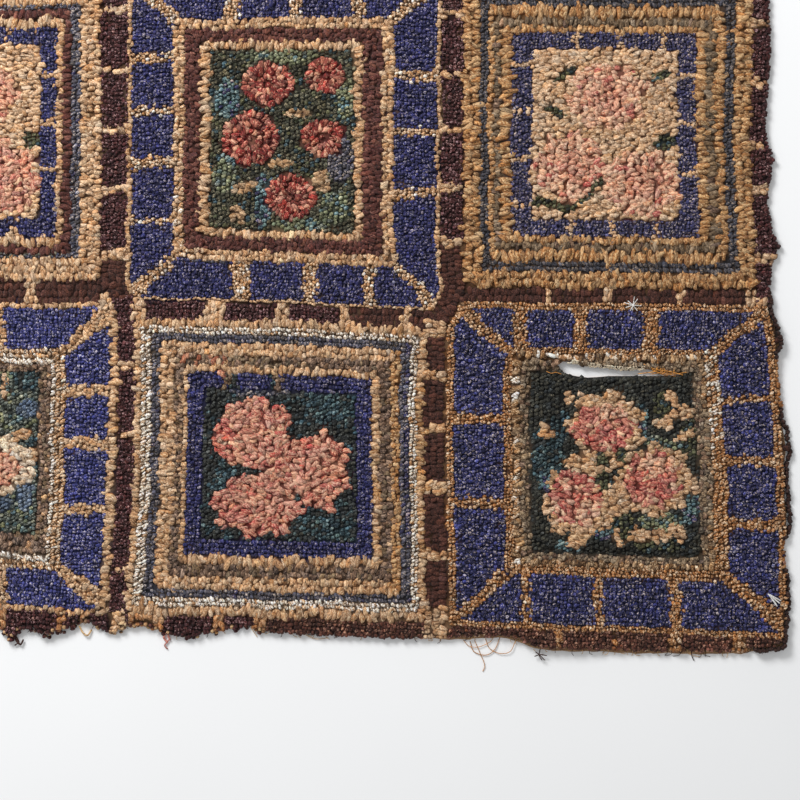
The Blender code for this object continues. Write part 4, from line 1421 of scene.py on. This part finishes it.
def rim_path():
    """The rug's outline, anticlockwise, found by walking round the four edges with rounded corners."""
    steps = 800
    share = np.linspace(0, 1, steps)
    corners = {}
    for level, level_y in (("front", front_y), ("back", back_y)):
        for upright, upright_x in (("left", left_x), ("right", right_x)):
            x, y = (-WIDTH / 2 if upright == "left" else WIDTH / 2), 0.0
            for _ in range(8):
                y = float(level_y(x))
                x = float(upright_x(y))
            corners[level, upright] = (x, y)
    front_left, front_right = corners["front", "left"], corners["front", "right"]
    back_left, back_right = corners["back", "left"], corners["back", "right"]
    r = CORNER_ROUND * 0.45
    x = np.linspace(front_left[0] + r, front_right[0] - r, steps)
    points = [np.stack((x, front_y(x)), axis=1)]
    y = np.linspace(front_right[1] + r, back_right[1] - r, steps)
    points.append(np.stack((right_x(y), y), axis=1))
    x = np.linspace(back_right[0] - r, back_left[0] + r, steps)
    points.append(np.stack((x, back_y(x)), axis=1))
    y = np.linspace(back_left[1] - r, front_left[1] + r, steps)
    points.append(np.stack((left_x(y), y), axis=1))
    path = np.concatenate(points)
    return np.concatenate((path, path[:1]))


def tear_paths():
    """The two sides of the tear, each with the cloth on its left."""
    table = np.array(TEAR, float)
    return [table[::-1][:, [0, 2]], table[:, [0, 1]]]


RimRow = namedtuple("RimRow", "inset height tilt where")
RIM_ROWS = [
    RimRow(1.0, 2.6, 80, "all round"), RimRow(0.3, 4.7, 58, "all round"), RimRow(1.6, 6.6, 32, "all round"),
    RimRow(1.8, 7.4, 16, "roll"),
]
RIM_PITCH = 4.3
RIM_BROAD = 4.2
ROLL_COLOUR = (58, 36, 30)
WORN_COLOURS = ((196, 160, 130), (150, 104, 78), (174, 122, 108))
# The front edge is frayed to the left of FRAYED_TO, where its loops stand out by about FRAYED_BY
FRAYED_TO, FRAYED_BY = -25.0, 1.7
FRAYED_COLOURS = ((196, 156, 114), (96, 58, 50))


def rim_loops(colours):
    """Loops that lean out over the edges, in rows one above the other, along the outline and the tear."""
    parts = []
    for path, hem_matters, droop in [(rim_path(), True, 0.0)] + [(path, False, 1.2) for path in tear_paths()]:
        for row in RIM_ROWS:
            x, y, heading, step, _ = spaced(path, RIM_PITCH)
            out_x, out_y = np.sin(heading), -np.cos(heading)
            hem = hem_share(x, y) * hem_matters
            roll = roll_share(x, y) * hem_matters
            inset = row.inset + droop + HEM_SHOWS * hem - ROLL_OUT * roll + rng.normal(0, 0.45, len(x))
            frayed = hem_matters & (y < -DEPTH / 2 + 50) & (x < FRAYED_TO)
            inset = inset - frayed * np.clip(rng.exponential(FRAYED_BY, len(x)) - 0.4, 0, 5.5)
            x, y = x - out_x * inset, y - out_y * inset
            z = row.height * np.where(inset < -1.5, 0.6, 1.0) + lift(x, y) + rng.normal(0, 0.35, len(x))
            tilt = np.radians(row.tilt + rng.normal(0, 8, len(x)))
            light = colours.at(x - out_x * 4, y - out_y * 4)
            light = np.where(roll[:, None] > 0.25, to_light(ROLL_COLOUR), light)
            # loops worn at the front hem take worn colours: real wear here, no painted shade
            wear_and_painted_shade = (hem[:, None] > 0.3) & (row.height < 5) & (roll[:, None] < 0.5)
            other = to_light(WORN_COLOURS)[rng.integers(0, len(WORN_COLOURS), len(x))]
            light = np.where(wear_and_painted_shade & (rng.random(len(x)) < 0.75)[:, None], other, light)
            drawn = (frayed & (rng.random(len(x)) < 0.34))[:, None]
            light = np.where(drawn, to_light(FRAYED_COLOURS)[rng.integers(0, 2, len(x))], light)
            kept = np.full(len(x), row.where == "all round") | (roll > 0.3)
            columns = (x, y, z, heading, np.full(len(x), step), tilt, *light.T)
            parts.append(np.stack(columns, axis=1)[kept])
    return np.concatenate(parts)


def make_rim(colours, material):
    """The rim loops as one mesh: domes turned outwards about the edge's own direction.

    Each loop has its own square of the bake map, because most of them face sideways.
    """
    rows = rim_loops(colours)
    x, y, z, heading, step, tilt = rows[:, :6].T
    light = rows[:, 6:]
    count = len(x)
    size = 1.12 * np.exp(rng.normal(0, 0.08, count))
    loops = {
        "x": np.zeros(count), "y": np.zeros(count), "z": np.zeros(count), "heading": np.zeros(count),
        "long": step * size, "broad": RIM_BROAD * size,
        "fat": np.full(count, 0.85), "bend": rng.normal(0, 0.15, count), "twist": rng.normal(0, 0.2, count),
        "lean_x": np.zeros(count), "lean_y": np.zeros(count),
        "tilt_along": rng.normal(0, 0.12, count), "tilt_across": rng.normal(0, 0.12, count),
        "rough": np.full(count, 0.8),
    }
    points, dome, strand, depth = domes(loops, YARN_RINGS, 6, 0.85)
    each = points.shape[1]
    local_along, local_out, up = points[..., 0], -points[..., 1], points[..., 2]
    cos, sin = np.cos(tilt)[:, None], np.sin(tilt)[:, None]
    outward = local_out * cos + up * sin
    rise = up * cos - local_out * sin
    along_x, along_y = np.cos(heading)[:, None], np.sin(heading)[:, None]
    out_x, out_y = np.sin(heading)[:, None], -np.cos(heading)[:, None]
    place = np.stack((
        x[:, None] + local_along * along_x + outward * out_x,
        y[:, None] + local_along * along_y + outward * out_y,
        np.maximum(z[:, None] + rise, 0.15),
    ), axis=2)
    tone = np.exp(rng.normal(0, 0.16, count))[:, None]
    strand = strand + apart((rng.random(count) * SEED_SPREAD)[:, None])
    side = int(np.ceil(np.sqrt(count)))
    cell = np.stack((np.arange(count) % side, np.arange(count) // side), axis=1)[:, None]
    flat = points[..., :2] / 4.6 * 0.42 / 1.2 + 0.5
    bake = ((cell + np.clip(flat, 0.04, 0.96)) / side).reshape(-1, 2)
    faces = (dome[None] + (np.arange(count) * each)[:, None, None]).reshape(-1, 3)
    piece = make_mesh(
        "rim_loops", place.reshape(-1, 3), faces, materials=[material], bake=bake,
        attributes=[
            ("wool", "FLOAT_COLOR", np.repeat(np.clip(light * tone, 0.004, 0.8), each, axis=0)),
            ("pale", "FLOAT_COLOR", np.repeat(np.clip(light * tone * 2.0 + 0.03, 0.004, 0.8), each, axis=0)),
            ("marl", "FLOAT_VECTOR", np.tile((0.62, 0.41, 0.0), (count * each, 1))),
            ("strand", "FLOAT_VECTOR", strand.reshape(-1, 3)),
            ("depth", "FLOAT", depth.ravel()),
        ],
    )
    return declare(piece, "loops", "loop_pile")


# Loose threads: the yarn's colour, its thickness, the height it lies at, and the points that it passes
Thread = namedtuple("Thread", "colour thick height points")
GOLD, WHITE, PINK, BROWN = (198, 136, 66), (238, 234, 228), (196, 128, 116), (64, 40, 34)
STRAW, LINT = (204, 166, 120), (226, 206, 178)
THREADS = [
    Thread(GOLD, 0.9, 0.8, ((205, -371), (209, -382), (222, -386), (232, -380), (238, -366))),
    Thread(GOLD, 0.8, 0.7, ((210, -370), (216, -384), (221, -397), (219, -404))),
    Thread(GOLD, 0.8, 0.9, ((222, -368), (226, -378), (237, -384), (249, -382), (255, -370))),
    Thread(GOLD, 0.7, 1.1, ((198, -370), (204, -376), (214, -377), (226, -372), (231, -366))),
    Thread(PINK, 2.4, 1.4, ((-132, -350), (-129, -358), (-133, -366), (-129, -372))),
    Thread(PINK, 2.0, 2.0, ((-127, -349), (-124, -357), (-128, -364), (-126, -369))),
    Thread(PINK, 1.6, 1.2, ((-130, -360), (-127, -368), (-132, -375), (-129, -379))),
    Thread(STRAW, 2.2, 1.6, ((-118, -352), (-114, -360), (-110, -365), (-106, -361))),
    Thread(STRAW, 2.2, 1.6, ((-108, -351), (-104, -359), (-99, -364), (-95, -359))),
    Thread(STRAW, 2.0, 1.4, ((-226, -354), (-222, -361), (-217, -364), (-213, -358))),
    Thread(GOLD, 1.1, 6.2, ((396, -65), (410, -71), (424, -73), (439, -77))),
    Thread(GOLD, 1.0, 5.2, ((402, -69), (415, -75), (429, -76), (443, -74))),
    Thread(GOLD, 1.0, 4.0, ((406, -72), (419, -77), (430, -78), (440, -79))),
    Thread(GOLD, 0.9, 7.6, ((289, -73), (294, -75), (299, -74), (305, -76))),
    Thread(STRAW, 0.7, 0.7, ((-38, -354), (-34, -360), (-30, -366))),
    Thread(STRAW, 0.7, 0.9, ((20, -362), (34, -368), (48, -367))),
    Thread(BROWN, 1.2, 1.2, ((282, -379), (281, -386), (284, -391))),
    Thread(BROWN, 1.2, 1.2, ((276, -387), (282, -385), (289, -386))),
    Thread(BROWN, 1.2, 1.4, ((277, -382), (282, -386), (287, -391))),
    Thread(BROWN, 1.1, 1.0, ((449, -383), (450, -388), (452, -392))),
    Thread(BROWN, 2.2, 1.6, ((-300, -362), (-296, -369), (-291, -374), (-288, -369))),
    Thread(BROWN, 1.8, 1.6, ((-297, -364), (-293, -371), (-297, -375))),
]
STAR_MIDDLE, STAR_REACH, STAR_RAYS = (384, 0), 9.5, 9
TUFT_ENDS = [(545, -328), (542, -331), (546, -325), (541, -329)]
TUFT_ROOT = (533, -318)


def smooth_path(points, steps):
    """A smooth curve through the points: each stretch is a blend of its neighbours, by cubic weights."""
    known = np.array(points, float)
    padded = np.concatenate((2 * known[:1] - known[1:2], known, 2 * known[-1:] - known[-2:-1]))
    share = np.linspace(0, len(known) - 1, steps)
    which = np.clip(share.astype(int), 0, len(known) - 2)
    t = (share - which)[:, None]
    a, b, c, d = (padded[which + i] for i in range(4))
    square, cube = 2 * a - 5 * b + 4 * c - d, 3 * b - a - 3 * c + d
    return 0.5 * (2 * b + (c - a) * t + square * t ** 2 + cube * t ** 3)


def tube(path, radius, corners=5):
    """A round thread along a path: rings square to the way it goes, closed by a point at each end."""
    way = np.gradient(path, axis=0)
    way /= np.linalg.norm(way, axis=1, keepdims=True) + 1e-9
    side = np.cross(way, (0.0, 0.0, 1.0))
    side /= np.linalg.norm(side, axis=1, keepdims=True) + 1e-9
    up = np.cross(side, way)
    angle = np.arange(corners) * 2 * np.pi / corners
    rings = path[:, None] + radius * (
        np.cos(angle)[None, :, None] * side[:, None] + np.sin(angle)[None, :, None] * up[:, None]
    )
    count = len(path)
    tips = np.concatenate((path[:1] - way[:1] * radius, path[-1:] + way[-1:] * radius))
    vertices = np.concatenate((rings.reshape(-1, 3), tips))
    i, j = np.meshgrid(np.arange(count - 1), np.arange(corners), indexing="ij")
    a, b = i * corners + j, i * corners + (j + 1) % corners
    walls = np.concatenate((np.stack((a, b, b + corners), -1), np.stack((a, b + corners, a + corners), -1)))
    ring = np.arange(corners)
    first, last = count * corners, count * corners + 1
    start = np.stack((np.full(corners, first), (ring + 1) % corners, ring), axis=1)
    base = (count - 1) * corners
    end = np.stack((np.full(corners, last), base + ring, base + (ring + 1) % corners), axis=1)
    return vertices, np.concatenate((walls.reshape(-1, 3), start, end))[:, ::-1]


def thread_paths():
    """Every thread as a path in space, its thickness and its colour."""
    for row in THREADS:
        flat = smooth_path(row.points, 18)
        rise = row.height + lift(flat[:, 0], flat[:, 1]) + 0.5 * np.sin(np.linspace(0, np.pi, 18))
        yield np.column_stack((flat, rise)), row.thick, row.colour
    top = float(surface_height(np.array(STAR_MIDDLE[0]), np.array(STAR_MIDDLE[1])))
    for ray in range(STAR_RAYS):
        angle = ray * 2 * np.pi / STAR_RAYS + rng.normal(0, 0.18)
        reach = STAR_REACH * rng.uniform(0.55, 1.05)
        share = np.linspace(0, 1, 8)[:, None]
        way = np.array((np.cos(angle), np.sin(angle)))
        flat = np.array(STAR_MIDDLE) + share * reach * way
        yield np.column_stack((flat, top + 1.2 - share * 0.7)), 0.9, WHITE
    for end in TUFT_ENDS:
        top = float(surface_height(np.array(TUFT_ROOT[0]), np.array(TUFT_ROOT[1])))
        flat = smooth_path((TUFT_ROOT, end), 8)
        yield np.column_stack((flat, top + 0.9 + np.linspace(0, 0.8, 8))), 1.6, WHITE
    yield from frayed_paths()


FRAY_COUNT = 110
LINT_COUNT = 80
GOLD_FROM = 402


def frayed_paths():
    """Short ends of burlap and wool: along the front edge, and in the tear lint and gold yarn."""
    along = rng.uniform(-550, 556, FRAY_COUNT)
    for x in along:
        y = float(front_y(x))
        out = rng.uniform(0.5, 4.5)
        bend = rng.normal(0, 2.5, 2)
        points = ((x, y + 4), (x + bend[0] * 0.4, y - out * 0.4), (x + bend[0] + bend[1], y - out))
        colour = STRAW if rng.random() < 0.6 else BROWN
        flat = smooth_path(points, 8)
        yield np.column_stack((flat, np.linspace(2.2, 0.6, 8) + lift(flat[:, 0], flat[:, 1]))), 0.6, colour
    for x in np.concatenate((rng.uniform(404, 434, 6), rng.uniform(316, 398, LINT_COUNT))):
        back, front = float(read_off(TEAR, x, 1)), float(read_off(TEAR, x, 2))
        if x > GOLD_FROM:
            far = (back - front) * rng.uniform(0.3, 1.0)
            points = ((x, back + 3), (x + rng.normal(0, 1.5), back - 1), (x + rng.normal(0, 6), back - far))
        else:
            points = (
                (x, back + 2.4), (x + rng.normal(0, 1.2), back + 0.4),
                (x + rng.normal(0, 3.0), back - rng.uniform(0.2, 2.0)),
            )
        flat = smooth_path(points, 8)
        thick, colour = (1.0, GOLD) if x > GOLD_FROM else (1.3, LINT)
        yield np.column_stack((flat, np.linspace(7.4, 4.4, 8))), thick, colour


def make_threads(material):
    """The loose threads as one mesh of thin tubes, the yarn's colour on each."""
    vertices, faces, wool, strand = [], [], [], []
    start = 0
    for path, thick, colour in thread_paths():
        path[:, 2] = np.maximum(path[:, 2], thick / 2 + 0.15)
        points, triangles = tube(path, thick / 2)
        vertices.append(points)
        faces.append(triangles + start)
        tone = np.exp(rng.normal(0, 0.12))
        wool.append(np.tile(np.clip(to_light(colour) * tone, 0.004, 0.85), (len(points), 1)))
        strand.append(points + rng.uniform(0, 500))
        start += len(points)
    count = start
    wool = np.concatenate(wool)
    piece = make_mesh(
        "loose_threads", np.concatenate(vertices), np.concatenate(faces), materials=[material],
        attributes=[
            ("wool", "FLOAT_COLOR", wool), ("pale", "FLOAT_COLOR", np.clip(wool * 1.5, 0, 0.9)),
            ("marl", "FLOAT_VECTOR", np.tile((0.6, 0.40, 0.0), (count, 1))),
            ("strand", "FLOAT_VECTOR", np.concatenate(strand)), ("depth", "FLOAT", np.ones(count)),
        ],
    )
    return declare(piece, "foundation")


def floor_material():
    """A plain pale floor, very slightly uneven."""
    material, nodes, links = tidy_material("pale floor")
    shader = set_shader(nodes, 0.8, 0.0)
    place = nodes.new("ShaderNodeTexCoord").outputs["Object"]
    patches = noise(nodes, links, place, 3.0, 2.0)
    darker, paler = tuple(to_light((236, 237, 238))), tuple(to_light((240, 241, 242)))
    tone = mix(nodes, links, "MIX", patches, darker, paler)
    links.new(tone, shader.inputs["Base Color"])
    return material


def make_stage():
    """The floor, the soft light from the back left, and the pale surroundings."""
    mesh = bpy.data.meshes.new("floor")
    mesh.from_pydata([(-4, -4, 0), (4, -4, 0), (4, 4, 0), (-4, 4, 0)], [], [(0, 1, 2, 3)])
    mesh.materials.append(floor_material())
    floor = bpy.data.objects.new("floor", mesh)
    bpy.context.scene.collection.objects.link(floor)
    world = bpy.data.worlds.new("pale room")
    bpy.context.scene.world = world
    world.use_nodes = True
    world.node_tree.nodes["Background"].inputs["Color"].default_value = (1.0, 1.0, 1.0, 1.0)
    world.node_tree.nodes["Background"].inputs["Strength"].default_value = 0.54
    lamp = bpy.data.lights.new("window light", "AREA")
    lamp.shape = "RECTANGLE"
    lamp.size, lamp.size_y = 1.1, 0.9
    lamp.energy = 78.0
    light = bpy.data.objects.new("window light", lamp)
    light.location = (-1.1, 1.7, 1.5)
    aim = Vector((0.1, -0.1, 0.0)) - light.location
    light.rotation_euler = aim.to_track_quat("-Z", "Y").to_euler()
    bpy.context.scene.collection.objects.link(light)


VIEW_MIDDLE = (128.0 * MM, -104.6 * MM)
VIEW_SPAN = 880 * MM
PILE_TOP = 8 * MM
LENS = 85.0
SENSOR = 36.0


def make_camera():
    """Straight down, with a long lens, so that 880 mm at the height of the loops fills the picture."""
    data = bpy.data.cameras.new("camera")
    data.lens = LENS
    data.sensor_width = SENSOR
    camera = bpy.data.objects.new("camera", data)
    camera.location = (*VIEW_MIDDLE, PILE_TOP + VIEW_SPAN * LENS / SENSOR)
    bpy.context.scene.collection.objects.link(camera)
    bpy.context.scene.camera = camera
    bpy.context.scene.view_settings.view_transform = "Standard"


def build():
    make_camera()
    make_stage()
    loops = shape_loops(all_loops())
    strip = wool_material("wool strip", 1.2, (3.0, 1.1, 2.0), (0.30, 0.19, 0.14), 0.0008, 0.10, 0.7)
    yarn = wool_material("flecked yarn", 0.5, (2.6, 1.0, 1.6), (0.20, 0.18, 0.18), 0.0008, 0.08)
    plush = wool_material("brushed wool", 0.2, (1.3, 1.2, 1.6), (0.36, 0.33, 0.33), 0.0008, 0.10)
    names = ("front_left", "front_middle", "front_right", "back_left", "back_middle", "back_right")
    for number, name in enumerate(names + ("sashes",)):
        chosen = loops["block"] == number
        part = {key: values[chosen] for key, values in loops.items()}
        loop_piece("loops_" + name, part, (strip, yarn, plush))
    colours = ColourField(loops)
    make_bed(colours)
    make_rim(colours, yarn)
    make_threads(yarn)
    burlap = make_burlap()


build()
bpy.context.view_layer.update()
